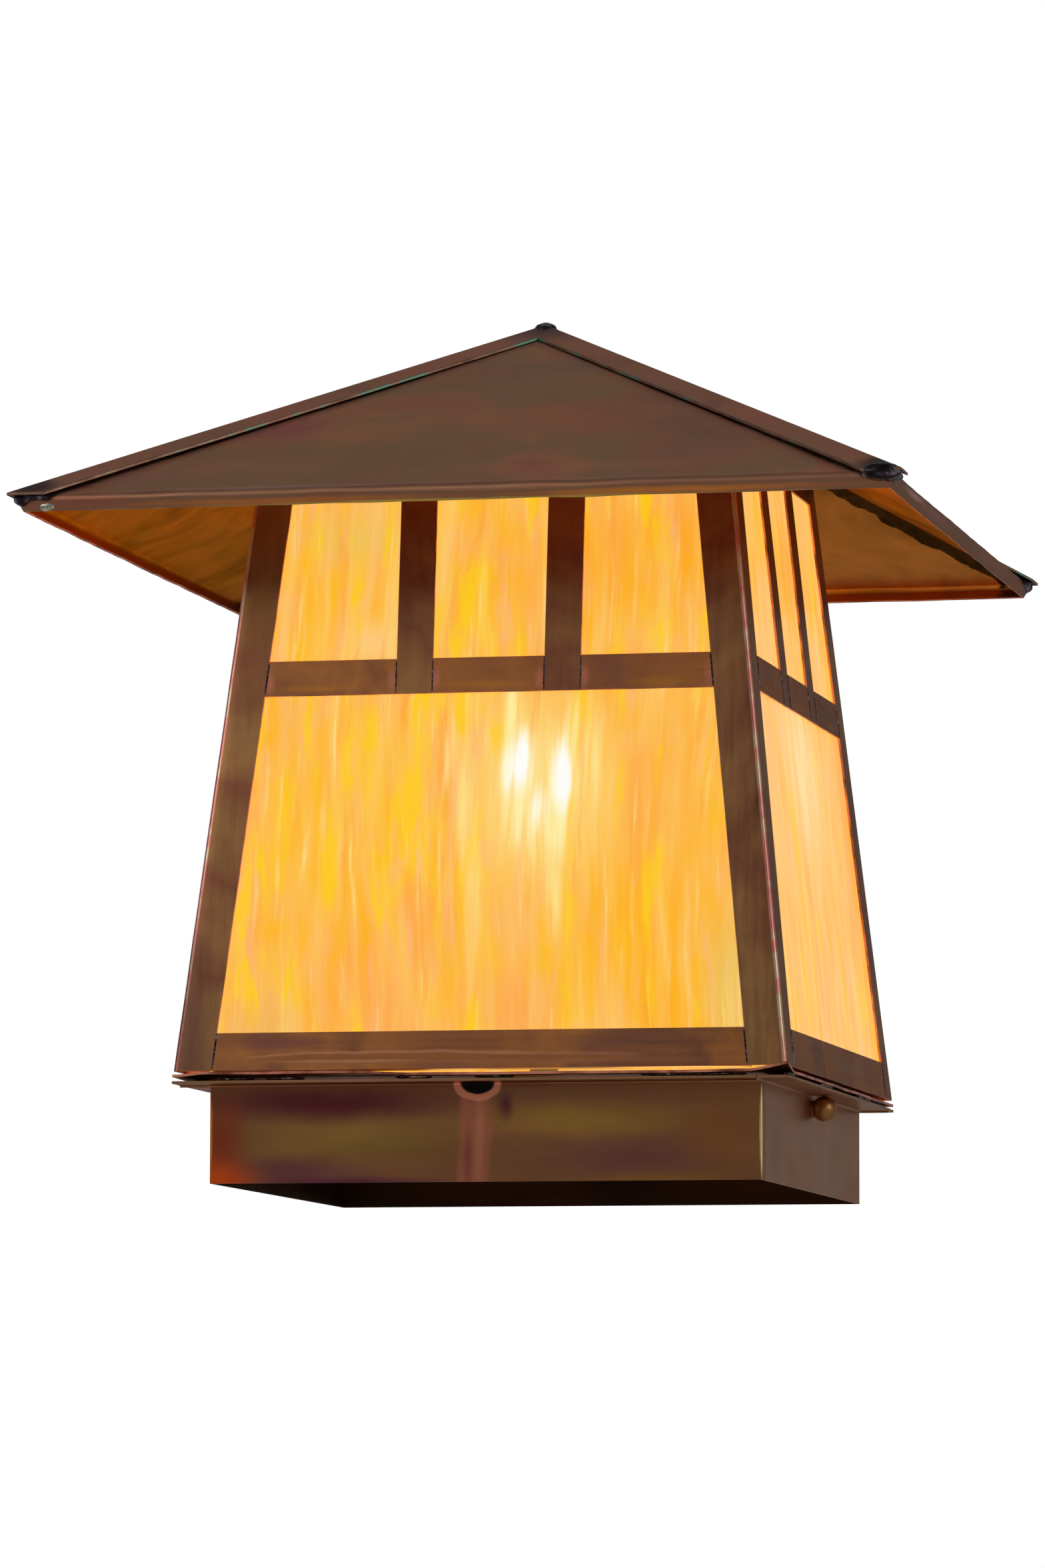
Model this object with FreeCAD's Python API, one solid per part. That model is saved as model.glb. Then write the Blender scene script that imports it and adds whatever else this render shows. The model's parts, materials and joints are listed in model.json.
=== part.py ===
import FreeCAD, Part

# Post cap lantern of folded and soldered copper sheet with streaky amber glass.
# Millimetres, +Z up. The origin is the centre of the sleeve's bottom rim, the front faces -Y
# and the right-hand side faces +X.
#
# The post base is a square sleeve that slips over a timber post. A strap across its inside
# rests on the post's top and carries the lamp holder. The lantern, which is the glazed body
# with its roof, hangs by two slotted tabs on two screws in the sleeve's sides, and a ball
# nut on each screw clamps it. With the nuts slackened it lifts straight off over the bulb.

import math
import os

from FreeCAD import Vector

# ---------------------------------------------------------------- driving dimensions

# Sheet work
sheet = 0.9                    # copper sheet thickness
fold_radius = 1.6              # outside radius of a fold in the sleeve
lap_gap = 0.1                  # gap between two laid-on sheets before the solder
overshoot = 1.0                # how far a cutter runs past the faces that it cuts

# Post and sleeve
post_width = 190.5             # dressed width of a nominal eight inch timber post
post_clearance = 1.35          # post to sleeve, each side
sleeve_height = 35.0           # bottom rim to the flange's top face
flange_width = 11.2            # flange beyond the wall's outer face
corner_radius = 0.8            # rounding of the sleeve's upright edges
flange_end_gap = 0.1           # between a flange's end and the flange that it meets

# Base plate on the flanges
plate_inset = 0.5              # plate edge inside the flange edge
plate_solder = 1.2             # thickness of the solder between flange and plate
plate_reach = 8.6              # plate's inner edge inside the sleeve's inner face
flap_size = 13.0               # corner of the plate that is bent up
flap_rise = 0.95               # how far its tip is bent up
solder_length = 34.0           # length of a solder run under the plate
solder_width = 4.0             # its width
solder_spacing = 120.0         # spacing of the two runs on a side

# Strap across the sleeve
strap_height = 20.0            # its underside above the rim, where the post's top stops
strap_thickness = 2.0
strap_width = 25.4
strap_tab_height = 13.0        # turned-up end from the strap's underside
slot_spacing = 120.0           # centres of the two slots for the post screws
slot_length = 16.0
slot_width = 5.5
ground_screw_offset = 30.0     # from the strap's middle
ground_screw_radius = 1.95
ground_head_radius = 4.0
ground_head_height = 2.2
ground_slot_width = 1.0
ground_slot_depth = 1.1
hole_clearance = 0.2           # radial clearance of a plain hole round its screw or pipe

# Threaded pipe that carries the lamp holder
pipe_radius = 5.15
pipe_bore_radius = 3.4
nut_across_flats = 14.3
nut_thickness = 3.2
thread_gap = 0.05              # radial gap drawn at a screwed joint
lock_washer_radius = 7.4
lock_washer_thickness = 1.0

# Lamp holder
bulb_centre_height = 149.4     # middle of the bulb's globe above the rim
holder_radius = 18.5
holder_cap_height = 14.0
holder_cap_wall = 3.0
holder_depth = 26.6            # floor of the lamp holder to its mouth
holder_floor = 4.0
holder_seat_gap = 0.1          # between the cap and the porcelain body
shell_radius = 13.9            # outside of the fixed screw shell
shell_wall = 0.5
shell_fit = 0.2                # fixed shell to the porcelain
shell_floor_hole = 7.0
contact_radius = 4.0
contact_height = 1.6           # centre contact above the well's floor
contact_rivet_radius = 2.4
terminal_offset = 11.0         # terminal screws from the axis
terminal_radius = 1.7
terminal_head_radius = 3.0
terminal_head_height = 2.0

# Bulb
bulb_radius = 30.0
bulb_centre_to_tip = 79.0      # middle of the globe down to the foot contact
shoulder_drop = 13.5           # where the globe turns into the flank, below its middle
bulb_neck_radius = 12.4
neck_seal = 1.0                # straight neck above the shell's top
neck_depth = 4.0               # neck inside the shell
neck_taper = 1.0               # how much its end is drawn in
flank_slope = 0.12             # outward slope where the flank leaves the neck
bulb_glass_wall = 0.8
bulb_shell_radius = 13.05
bulb_shell_wall = 0.4
bulb_thread_pitch = 3.63
bulb_thread_depth = 0.45
bulb_thread_turns = 6
bulb_foot_radius = 4.4
bulb_foot_height = 1.2
bulb_insulator_height = 3.8
bulb_insulator_radius = 5.6
bulb_contact_gap = 0.3         # foot contact above the holder's contact
filament_span = 16.0
filament_radius = 0.6
lead_radius = 0.4
stem_height = 16.0             # stem from the shell's top
stem_flare_height = 11.0       # length of the flare at the stem's foot
stem_rim = 1.0                 # thickness of the flare's rim
stem_tip_radius = 3.0

# Side screws, washers and ball nuts
screw_radius = 2.08
screw_head_radius = 4.0
screw_head_height = 2.4
screw_reach = 6.0              # screw end beyond the washer
ball_radius = 4.5
ball_seat = 3.55               # ball centre to its flat seat
ball_bore_clearance = 0.06     # radial
ball_bore_spare = 0.6          # bore depth beyond the screw's end
ball_flange_gap = 0.12         # ball to the flange above it
washer_radius = 3.0
washer_thickness = 0.5
washer_clearance = 0.3         # radial
face_gap = 0.1                 # between flat faces of parts that move apart

# Hanging tabs of the lantern
tab_width = 24.0
tab_thickness = 1.2
tab_clearance = 0.3            # to the sleeve wall, the screw and the screw's head
tab_post_gap = 1.0             # tab's lower end above the post's top
tab_notch_gap = 1.0            # to the sides of the notch in the plate

# Lantern body
body_gap = 1.3                 # body bottom above the plate
body_setback = 0.2             # body's outer face inside the plate's edge
body_lean = 0.110              # inward lean of the walls per millimetre of height
angle_leg = 13.8               # width of the corner angle's legs
angle_radius = 1.3             # outside radius of the corner angle's fold
bottom_rail_height = 13.2
bottom_lip = 9.0               # inward lip under the bottom rail
mid_rail_bottom = 131.4        # above the body's bottom
mid_rail_height = 12.5
mullion_width = 13.0
mullion_spacing = 52.6
top_rail_height = 13.8
top_rail_flange = 10.0         # folded in under the roof

# Glass and its clips
glass_thickness = 3.0
glass_gap = 0.15               # glass to the metal before and behind it
glass_edge_inset = 6.5         # glass edge from the corner of the body
glass_top_gap = 2.5            # glass edge below the body's top
clip_thickness = 0.6
clip_height = 10.0
clip_foot_inset = 1.6          # clip's foot from the corner of the body
clip_edge_gap = 0.3            # clip to the glass's edge
clip_lap = 6.0                 # clip over the back of the glass
clip_heights = (28.0, 186.0)   # lower edges of the clips above the body's bottom

# Roof
roof_half_width = 153.6        # at the fold above the fascia
eave_height = 195.7            # that fold above the body's bottom
roof_rise = 78.4               # peak above that fold
fascia_height = 5.0
fascia_lean = 2.6              # fascia's lower edge inside the fold
roof_fold_radius = 3.0
hip_cap_leg = 10.2
hip_cap_overhang = 2.2         # cap's end beyond the fold
hip_cap_lift = 1.2             # how far the cap stands off the hip at the eave, more than at the peak
peak_solder_radius = 5.0
peak_solder_rise = 0.75        # top of the solder drop above the caps' peak
eave_bead_radius = 1.4         # solder bead on the fascia's corners
eave_bead_length = 7.0         # from the fascia's lower edge up to the cap

# ---------------------------------------------------------------- worked-out positions

sleeve_in = post_width / 2 + post_clearance
sleeve_out = sleeve_in + sheet
flange_edge = sleeve_out + flange_width
flange_underside = sleeve_height - sheet
flange_end = sleeve_out - flange_end_gap

plate_half = flange_edge - plate_inset
plate_bottom = sleeve_height + plate_solder
plate_top = plate_bottom + sheet

screw_height = flange_underside - ball_flange_gap - ball_radius
tab_outer = sleeve_in - tab_clearance
tab_inner = tab_outer - tab_thickness
head_face = tab_inner - tab_clearance
washer_inner = sleeve_out + face_gap
washer_outer = washer_inner + washer_thickness
screw_end = washer_outer + screw_reach

strap_top = strap_height + strap_thickness
bulb_tip = bulb_centre_height - bulb_centre_to_tip
contact_top = bulb_tip - bulb_contact_gap
holder_floor_top = contact_top - contact_height
holder_bottom = holder_floor_top - holder_floor
cap_bottom = holder_bottom - holder_seat_gap - holder_cap_height
pipe_top = cap_bottom + holder_cap_wall + nut_thickness
holder_top = holder_floor_top + holder_depth

body_bottom = plate_top + body_gap
body_half = plate_half - body_setback
eave_z = body_bottom + eave_height
peak_z = eave_z + roof_rise
roof_slope = roof_rise / roof_half_width
slope_factor = math.hypot(1.0, roof_slope)      # vertical thickness of a sloping sheet
cap_rise = roof_rise - hip_cap_lift
cap_slope = cap_rise / roof_half_width
roof_to_rail = (sheet + lap_gap) * slope_factor
body_top = (peak_z - roof_to_rail - roof_slope * (body_half + body_lean * body_bottom)) / (
    1.0 - roof_slope * body_lean)
top_rail_bottom = body_top - top_rail_height
mid_low = body_bottom + mid_rail_bottom
mid_high = mid_low + mid_rail_height
glass_back = sheet + glass_gap + glass_thickness

ORIGIN = Vector(0, 0, 0)
UP = Vector(0, 0, 1)
SIDES = ("front", "right", "back", "left")
CORNERS = ("front_right", "back_right", "back_left", "front_left")
QUARTER_TURNS = {side: 360 / len(SIDES) * number for number, side in enumerate(SIDES)}
CORNER_TURNS = {corner: 360 / len(CORNERS) * number for number, corner in enumerate(CORNERS)}


def half_width_at(z):
    """Half width of the lantern body's outside at a height."""
    return body_half - body_lean * (z - body_bottom)


# ---------------------------------------------------------------- small tools


def box(x_range, y_range, z_range):
    """Box between two limits along each axis."""
    low = Vector(x_range[0], y_range[0], z_range[0])
    size = Vector(x_range[1], y_range[1], z_range[1]) - low
    return Part.makeBox(size.x, size.y, size.z, low)


def rod(radius, z_low, z_high, x=0.0, y=0.0):
    """Upright cylinder."""
    return Part.makeCylinder(radius, z_high - z_low, Vector(x, y, z_low))


def side_rod(radius, x_low, x_high, z):
    """Cylinder along X on the right-hand side screw's line."""
    return Part.makeCylinder(radius, x_high - x_low, Vector(x_low, 0, z), Vector(1, 0, 0))


def prism(points, direction):
    """Flat outline through the points, carried along a direction."""
    outline = Part.makePolygon([*points, points[0]])
    return Part.Face(outline).extrude(direction)


def hexahedron(bottom, top):
    """Solid with flat faces between two four-cornered outlines."""
    outlines = [bottom, top]
    for here in range(4):
        there = (here + 1) % 4
        outlines.append([bottom[here], bottom[there], top[there], top[here]])
    faces = [Part.Face(Part.makePolygon([*corners, corners[0]])) for corners in outlines]
    solid = Part.Solid(Part.Shell(faces))
    if solid.Volume < 0:
        solid.reverse()
    return solid


def turned(shape, angle):
    """Copy of a shape turned about the upright axis."""
    copy = shape.copy()
    copy.rotate(ORIGIN, UP, angle)
    return copy


def mirrored(shape):
    """Copy of a shape mirrored from right to left."""
    return shape.mirror(ORIGIN, Vector(1, 0, 0))


def revolved(points):
    """Solid of revolution about the upright axis, from (radius, height) corners."""
    outline = Part.makePolygon([Vector(r, 0, z) for r, z in [*points, points[0]]])
    return Part.Face(outline).revolve(ORIGIN, UP, 360)


def folded_sheet(start, fold, end, thickness, radius, length):
    """Sheet folded once, its section in the YZ plane carried along X, centred on X.

    The three (y, z) points run along the outside of the fold.
    """
    start, fold, end = [Vector(0, y, z) for y, z in (start, fold, end)]
    along_start = (start - fold).normalize()
    along_end = (end - fold).normalize()
    half_angle = along_start.getAngle(along_end) / 2
    inward = (along_start + along_end).normalize()
    start_normal = (inward - along_start * inward.dot(along_start)).normalize()
    end_normal = (inward - along_end * inward.dot(along_end)).normalize()
    centre = fold + inward * (radius / math.sin(half_angle))
    inner = radius - thickness
    outside = [start, centre - start_normal * radius, centre - inward * radius,
               centre - end_normal * radius, end]
    inside = [start + start_normal * thickness, centre - start_normal * inner,
              centre - inward * inner, centre - end_normal * inner,
              end + end_normal * thickness]
    edges = [
        Part.LineSegment(outside[0], outside[1]).toShape(),
        Part.Arc(outside[1], outside[2], outside[3]).toShape(),
        Part.LineSegment(outside[3], outside[4]).toShape(),
        Part.LineSegment(outside[4], inside[4]).toShape(),
        Part.LineSegment(inside[4], inside[3]).toShape(),
        Part.Arc(inside[3], inside[2], inside[1]).toShape(),
        Part.LineSegment(inside[1], inside[0]).toShape(),
        Part.LineSegment(inside[0], outside[0]).toShape(),
    ]
    section = Part.Face(Part.Wire(edges))
    section.translate(Vector(-length / 2, 0, 0))
    return section.extrude(Vector(length, 0, 0))


def face_strip(z_low, z_high, left, right, outer_depth, inner_depth):
    """Flat strip in the front wall of the lantern body.

    left and right give its edges' x at a height, and the depths are measured in from the
    wall's outer face.
    """
    rings = []
    for z in (z_low, z_high):
        wall = -half_width_at(z)
        rings.append([Vector(left(z), wall + outer_depth, z), Vector(right(z), wall + outer_depth, z),
                      Vector(right(z), wall + inner_depth, z), Vector(left(z), wall + inner_depth, z)])
    return hexahedron(rings[0], rings[1])


def pyramid(half_width, z_low, z_peak):
    """Square pyramid on the upright axis."""
    corners = [Vector(half_width * i, half_width * j, z_low) for i, j in ((1, -1), (1, 1), (-1, 1), (-1, -1))]
    tip = Vector(0, 0, z_peak)
    faces = [Part.Face(Part.makePolygon([*corners, corners[0]]))]
    for here in range(4):
        there = (here + 1) % 4
        faces.append(Part.Face(Part.makePolygon([corners[here], corners[there], tip, corners[here]])))
    solid = Part.Solid(Part.Shell(faces))
    if solid.Volume < 0:
        solid.reverse()
    return solid


# ---------------------------------------------------------------- post base


def make_sleeve_front():
    """Front wall with its flange; it also closes the sleeve's upright edges.

    Each flange starts at the plate's edge on the left, seen from outside, and ends on the right
    at the next wall's flange.
    """
    wall = folded_sheet((-sleeve_in, 0), (-sleeve_in, sleeve_height), (-flange_edge, sleeve_height),
                        sheet, fold_radius, 2 * plate_half)
    column = box((-sleeve_out, sleeve_out), (-sleeve_out, sleeve_out), (0, sleeve_height))
    upright_edges = [edge for edge in column.Edges if edge.BoundBox.ZLength > edge.BoundBox.XLength
                     + edge.BoundBox.YLength]
    column = column.makeFillet(corner_radius, upright_edges)
    flange_space = box((-plate_half, flange_end), (-flange_edge, -sleeve_out), (0, sleeve_height))
    return wall.common(column.fuse(flange_space))


def make_sleeve_right():
    """Right-hand wall between the front and back walls, its flange placed as the front one."""
    wall = folded_sheet((-sleeve_in, 0), (-sleeve_in, sleeve_height), (-flange_edge, sleeve_height),
                        sheet, fold_radius, 2 * plate_half)
    for side in (-1, 1):
        beyond = sorted((side * sleeve_in, side * (plate_half + overshoot)))
        wall = wall.cut(box(beyond, (-sleeve_out, 0), (-overshoot, sleeve_height + overshoot)))
    wall = wall.cut(box((flange_end, plate_half + overshoot), (-flange_edge - overshoot, 0),
                        (-overshoot, sleeve_height + overshoot)))
    wall = turned(wall, QUARTER_TURNS["right"])
    hole = side_rod(screw_radius + hole_clearance, sleeve_in - overshoot, sleeve_out + overshoot,
                    screw_height)
    return wall.cut(hole)


def make_base_plate():
    """Square plate soldered on the flanges, open in the middle, one corner bent up."""
    edge = plate_half
    opening = sleeve_in - plate_reach
    cut = edge - flap_size
    outline = [Vector(x, y, plate_bottom) for x, y in (
        (cut, -edge), (edge, -cut), (edge, edge), (-edge, edge), (-edge, -edge))]
    plate = prism(outline, Vector(0, 0, sheet))
    flap = prism([outline[0], Vector(edge, -edge, plate_bottom + flap_rise), outline[1]],
                 Vector(0, 0, sheet))
    plate = plate.fuse(flap)
    levels = (plate_bottom - overshoot, plate_top + overshoot)
    plate = plate.cut(box((-opening, opening), (-opening, opening), levels))
    notch_half = tab_width / 2 + tab_notch_gap
    return plate.cut(box((-sleeve_in, sleeve_in), (-notch_half, notch_half), levels))


def make_plate_solder():
    """Runs of solder between the flanges and the plate."""
    middle = -(sleeve_out + flange_width / 2)
    runs = []
    for angle in QUARTER_TURNS.values():
        for side in (-1, 1):
            start = side * solder_spacing / 2 - solder_length / 2
            run = box((start, start + solder_length), (middle - solder_width / 2, middle + solder_width / 2),
                      (sleeve_height, plate_bottom))
            runs.append(turned(run, angle))
    return Part.makeCompound(runs)


def make_crossbar():
    """Strap across the sleeve with turned-up ends, slots for the post screws and a tapped pipe hole."""
    half = strap_width / 2
    strap = box((-half, half), (-sleeve_in, sleeve_in), (strap_height, strap_top))
    for side in (-1, 1):
        ends = sorted((side * sleeve_in, side * (sleeve_in - strap_thickness)))
        strap = strap.fuse(box((-half, half), ends, (strap_height, strap_height + strap_tab_height)))
    through = (strap_height - overshoot, strap_top + overshoot)
    cutters = [rod(pipe_radius + thread_gap, *through),
               rod(ground_screw_radius + thread_gap, *through, y=ground_screw_offset)]
    run = slot_length / 2 - slot_width / 2
    for centre in (-slot_spacing / 2, slot_spacing / 2):
        cutters.append(box((-slot_width / 2, slot_width / 2), (centre - run, centre + run), through))
        for end in (-run, run):
            cutters.append(rod(slot_width / 2, *through, y=centre + end))
    for cutter in cutters:
        strap = strap.cut(cutter)
    return strap.removeSplitter()


def make_pipe():
    """Threaded pipe screwed into the strap, flush below; it carries the holder and brings the wires up."""
    bore = rod(pipe_bore_radius, strap_height - overshoot, pipe_top + overshoot)
    return rod(pipe_radius, strap_height, pipe_top).cut(bore)


def make_nut(z_low):
    """Hexagonal nut on the pipe."""
    corner = nut_across_flats / math.sqrt(3)
    points = [Vector(corner * math.cos(math.radians(a)), corner * math.sin(math.radians(a)), z_low)
              for a in range(0, 360, 60)]
    nut = prism(points, Vector(0, 0, nut_thickness))
    return nut.cut(rod(pipe_radius + thread_gap, z_low - overshoot, z_low + nut_thickness + overshoot))


def make_lock_nuts():
    """The nut over the strap and the one inside the holder's cap."""
    over_strap = strap_top + lock_washer_thickness
    inside_cap = cap_bottom + holder_cap_wall
    return Part.makeCompound([make_nut(z) for z in (over_strap, inside_cap)])


def make_lock_washer():
    """Split ring between the strap and the nut over it."""
    ring = rod(lock_washer_radius, strap_top, strap_top + lock_washer_thickness)
    through = (strap_top - overshoot, strap_top + lock_washer_thickness + overshoot)
    ring = ring.cut(rod(pipe_radius + hole_clearance, *through))
    split = lock_washer_thickness / 2
    return ring.cut(box((0, lock_washer_radius + overshoot), (-split, split), through))


def make_ground_screw():
    """Earthing screw in the strap."""
    head_top = strap_top + ground_head_height
    head = rod(ground_head_radius, strap_top, head_top, y=ground_screw_offset)
    slot_half = ground_slot_width / 2
    slot = box((-ground_head_radius, ground_head_radius),
               (ground_screw_offset - slot_half, ground_screw_offset + slot_half),
               (head_top - ground_slot_depth, head_top + overshoot))
    shank = rod(ground_screw_radius, strap_height, strap_top, y=ground_screw_offset)
    return head.cut(slot).fuse(shank)


def make_side_screw():
    """Screw through the right-hand hanging tab and the sleeve wall."""
    head = side_rod(screw_head_radius, head_face - screw_head_height, head_face, screw_height)
    rounding = screw_head_height / 2
    inner_edge = [edge for edge in head.Edges if edge.CenterOfMass.x < head_face - rounding
                  and edge.Length > screw_head_radius * 4]
    head = head.makeFillet(rounding, inner_edge)
    return head.fuse(side_rod(screw_radius, head_face, screw_end, screw_height))


def make_side_screws():
    """The right-hand and the left-hand side screw."""
    screw = make_side_screw()
    return Part.makeCompound([screw, mirrored(screw)])


# ---------------------------------------------------------------- lamp holder


def make_holder_cap():
    """Cup under the porcelain, screwed on the pipe."""
    top = cap_bottom + holder_cap_height
    cap = rod(holder_radius, cap_bottom, top)
    cap = cap.cut(rod(holder_radius - holder_cap_wall, cap_bottom + holder_cap_wall, top + overshoot))
    return cap.cut(rod(pipe_radius + thread_gap, cap_bottom - overshoot, top))


def make_holder_body():
    """Porcelain body with the well for the screw shell."""
    well = shell_radius + shell_fit
    body = rod(holder_radius, holder_bottom, holder_top)
    body = body.cut(rod(well, holder_floor_top, holder_top + overshoot))
    floor = (holder_bottom - overshoot, holder_floor_top + overshoot)
    body = body.cut(rod(contact_rivet_radius + thread_gap, *floor))
    for side in (-1, 1):
        body = body.cut(rod(terminal_radius + thread_gap, *floor, x=side * terminal_offset))
    return body


def make_holder_shell():
    """Brass screw shell standing on the well's floor."""
    shell = rod(shell_radius, holder_floor_top, holder_top)
    shell = shell.cut(rod(shell_radius - shell_wall, holder_floor_top + shell_wall, holder_top + overshoot))
    return shell.cut(rod(shell_floor_hole, holder_floor_top - overshoot, holder_floor_top + overshoot))


def make_holder_contact():
    """Centre contact with its rivet through the porcelain."""
    disc = rod(contact_radius, holder_floor_top, contact_top)
    return disc.fuse(rod(contact_rivet_radius, holder_bottom, holder_floor_top))


def make_terminal_screws():
    """Wire terminals under the porcelain's floor, their ends in the shell's floor and contact strap."""
    screws = []
    for side in (-1, 1):
        shank = rod(terminal_radius, holder_bottom, holder_floor_top, x=side * terminal_offset)
        head = rod(terminal_head_radius, holder_bottom - terminal_head_height, holder_bottom,
                   x=side * terminal_offset)
        screws.append(shank.fuse(head))
    return Part.makeCompound(screws)


# ---------------------------------------------------------------- bulb

bulb_shell_bottom = bulb_tip + bulb_foot_height + bulb_insulator_height
bulb_shell_top = bulb_shell_bottom + bulb_thread_pitch * bulb_thread_turns + bulb_shell_wall
shoulder_z = bulb_centre_height - shoulder_drop
stem_top = bulb_shell_top + stem_height


def make_bulb_foot():
    """Solder button at the bulb's tip."""
    return rod(bulb_foot_radius, bulb_tip, bulb_tip + bulb_foot_height)


def make_bulb_insulator():
    """Black glass cone between the foot and the shell."""
    low = bulb_tip + bulb_foot_height
    inside = bulb_shell_radius - bulb_thread_depth - bulb_shell_wall
    return revolved([(0, low), (bulb_insulator_radius, low), (inside, bulb_shell_bottom),
                     (0, bulb_shell_bottom)])


def make_bulb_shell():
    """Thin brass shell rolled with a screw thread, drawn as rings."""
    crest = bulb_shell_radius
    root = crest - bulb_thread_depth
    inside = root - bulb_shell_wall
    points = [(inside, bulb_shell_bottom), (root, bulb_shell_bottom)]
    for turn in range(bulb_thread_turns):
        low = bulb_shell_bottom + bulb_thread_pitch * turn
        points.append((crest, low + bulb_thread_pitch / 2))
        points.append((root, low + bulb_thread_pitch))
    points.append((root, bulb_shell_top))
    points.append((inside, bulb_shell_top))
    return revolved(points)


def bulb_outline(inset):
    """Edges of the bulb's outline from the neck to the top, an inset within the glass."""
    neck = bulb_neck_radius - thread_gap - inset
    radius = bulb_radius - inset
    drop = bulb_centre_height - shoulder_z
    shoulder = Vector(math.sqrt(radius ** 2 - drop ** 2), 0, shoulder_z)
    neck_low = Vector(neck - neck_taper, 0, bulb_shell_top - neck_depth)
    neck_high = Vector(neck, 0, bulb_shell_top + neck_seal)
    tangent = Vector(drop, 0, shoulder.x).normalize()
    height = shoulder.z - neck_high.z
    flank = Part.BSplineCurve()
    flank.interpolate(Points=[neck_high, shoulder],
                      InitialTangent=Vector(flank_slope, 0, 1) * height, FinalTangent=tangent * height)
    top = Vector(0, 0, bulb_centre_height + radius)
    middle_angle = math.pi / 4
    middle = Vector(radius * math.cos(middle_angle), 0, bulb_centre_height + radius * math.sin(middle_angle))
    return [Part.LineSegment(neck_low, neck_high).toShape(), flank.toShape(),
            Part.Arc(shoulder, middle, top).toShape()]


def make_bulb_envelope():
    """Blown glass globe with its neck in the shell."""
    outer = bulb_outline(0.0)
    inner = bulb_outline(bulb_glass_wall)
    low_join = Part.LineSegment(inner[0].Vertexes[0].Point, outer[0].Vertexes[0].Point).toShape()
    top_join = Part.LineSegment(Vector(0, 0, bulb_centre_height + bulb_radius),
                                Vector(0, 0, bulb_centre_height + bulb_radius - bulb_glass_wall)).toShape()
    section = Part.Face(Part.Wire(Part.sortEdges([*outer, top_join, *inner, low_join])[0]))
    return section.revolve(ORIGIN, UP, 360)


def make_bulb_stem():
    """Glass stem, flared out to the neck that it is sealed in, which holds the lead wires."""
    low = bulb_shell_top + neck_seal
    flare = bulb_neck_radius - thread_gap - bulb_glass_wall - lap_gap
    return revolved([(0, low), (flare, low), (flare, low + stem_rim),
                     (stem_tip_radius, low + stem_flare_height), (stem_tip_radius, stem_top), (0, stem_top)])


def make_bulb_filament():
    """Two lead wires and the filament between them."""
    half = filament_span / 2
    foot = stem_tip_radius / 2
    wire = Part.makeCylinder(filament_radius, filament_span + 2 * lead_radius,
                             Vector(-half - lead_radius, 0, bulb_centre_height), Vector(1, 0, 0))
    for side in (-1, 1):
        start = Vector(side * foot, 0, stem_top)
        along = Vector(side * half, 0, bulb_centre_height) - start
        wire = wire.fuse(Part.makeCylinder(lead_radius, along.Length, start, along))
    flush = box((-filament_span, filament_span), (-stem_tip_radius, stem_tip_radius),
                (bulb_shell_top, stem_top))
    return wire.cut(flush)


# ---------------------------------------------------------------- ball nuts


def make_knob_washer():
    """Washer between the sleeve and the right-hand ball nut."""
    washer = side_rod(washer_radius, washer_inner, washer_outer, screw_height)
    return washer.cut(side_rod(screw_radius + washer_clearance, washer_inner - overshoot,
                               washer_outer + overshoot, screw_height))


def make_knob():
    """Right-hand ball nut with a flat seat and a blind bore."""
    centre = washer_outer + ball_seat
    ball = Part.makeSphere(ball_radius, Vector(centre, 0, screw_height))
    ball = ball.cut(box((centre - 2 * ball_radius, washer_outer), (-ball_radius, ball_radius),
                        (screw_height - ball_radius, screw_height + ball_radius)))
    bore = side_rod(screw_radius + ball_bore_clearance, washer_outer - overshoot,
                    screw_end + ball_bore_spare, screw_height)
    return ball.cut(bore)


# ---------------------------------------------------------------- lantern body


def leg_inner(z):
    """x of the corner angle's inner edge on the front, at a height."""
    return half_width_at(z) - angle_leg


def make_corner_angle():
    """Front right-hand corner angle: an L section carried up the leaning corner."""
    corner = body_half
    height = body_top - body_bottom
    inner_radius = angle_radius - sheet
    outer_centre = Vector(corner - angle_radius, -corner + angle_radius, body_bottom)
    diagonal = Vector(1, -1, 0).normalize()

    def at(along_front, along_side):
        return Vector(corner - along_front, -corner + along_side, body_bottom)

    outside = [at(angle_leg, 0), at(angle_radius, 0), outer_centre + diagonal * angle_radius,
               at(0, angle_radius), at(0, angle_leg)]
    inside = [at(sheet, angle_leg), at(sheet, angle_radius), outer_centre + diagonal * inner_radius,
              at(angle_radius, sheet), at(angle_leg, sheet)]
    edges = [Part.LineSegment(outside[4], inside[0]).toShape(),
             Part.LineSegment(inside[4], outside[0]).toShape()]
    for leg_end, bend_start, bend_middle, bend_end, other_end in (outside, inside):
        edges.append(Part.LineSegment(leg_end, bend_start).toShape())
        edges.append(Part.Arc(bend_start, bend_middle, bend_end).toShape())
        edges.append(Part.LineSegment(bend_end, other_end).toShape())
    drift = body_lean * height
    return Part.Face(Part.Wire(Part.sortEdges(edges)[0])).extrude(Vector(-drift, drift, height))


def make_bottom_rail():
    """Front bottom rail between the corner angles, with a lip that the glass stands on."""
    def left(z):
        return -leg_inner(z)

    rail = face_strip(body_bottom, body_bottom + bottom_rail_height, left, leg_inner, 0.0, sheet)
    lip = face_strip(body_bottom, body_bottom + sheet, left, leg_inner, 0.0, bottom_lip)
    return rail.fuse(lip).removeSplitter()


def make_mid_rail():
    """Front middle rail: three pieces butted against the angles and the mullions."""
    outer = mullion_spacing / 2 + mullion_width / 2
    inner = mullion_spacing / 2 - mullion_width / 2
    spans = [
        (lambda z: -leg_inner(z), lambda z: -outer),
        (lambda z: -inner, lambda z: inner),
        (lambda z: outer, leg_inner),
    ]
    pieces = [face_strip(mid_low, mid_high, left, right, 0.0, sheet) for left, right in spans]
    return Part.makeCompound(pieces)


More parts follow.
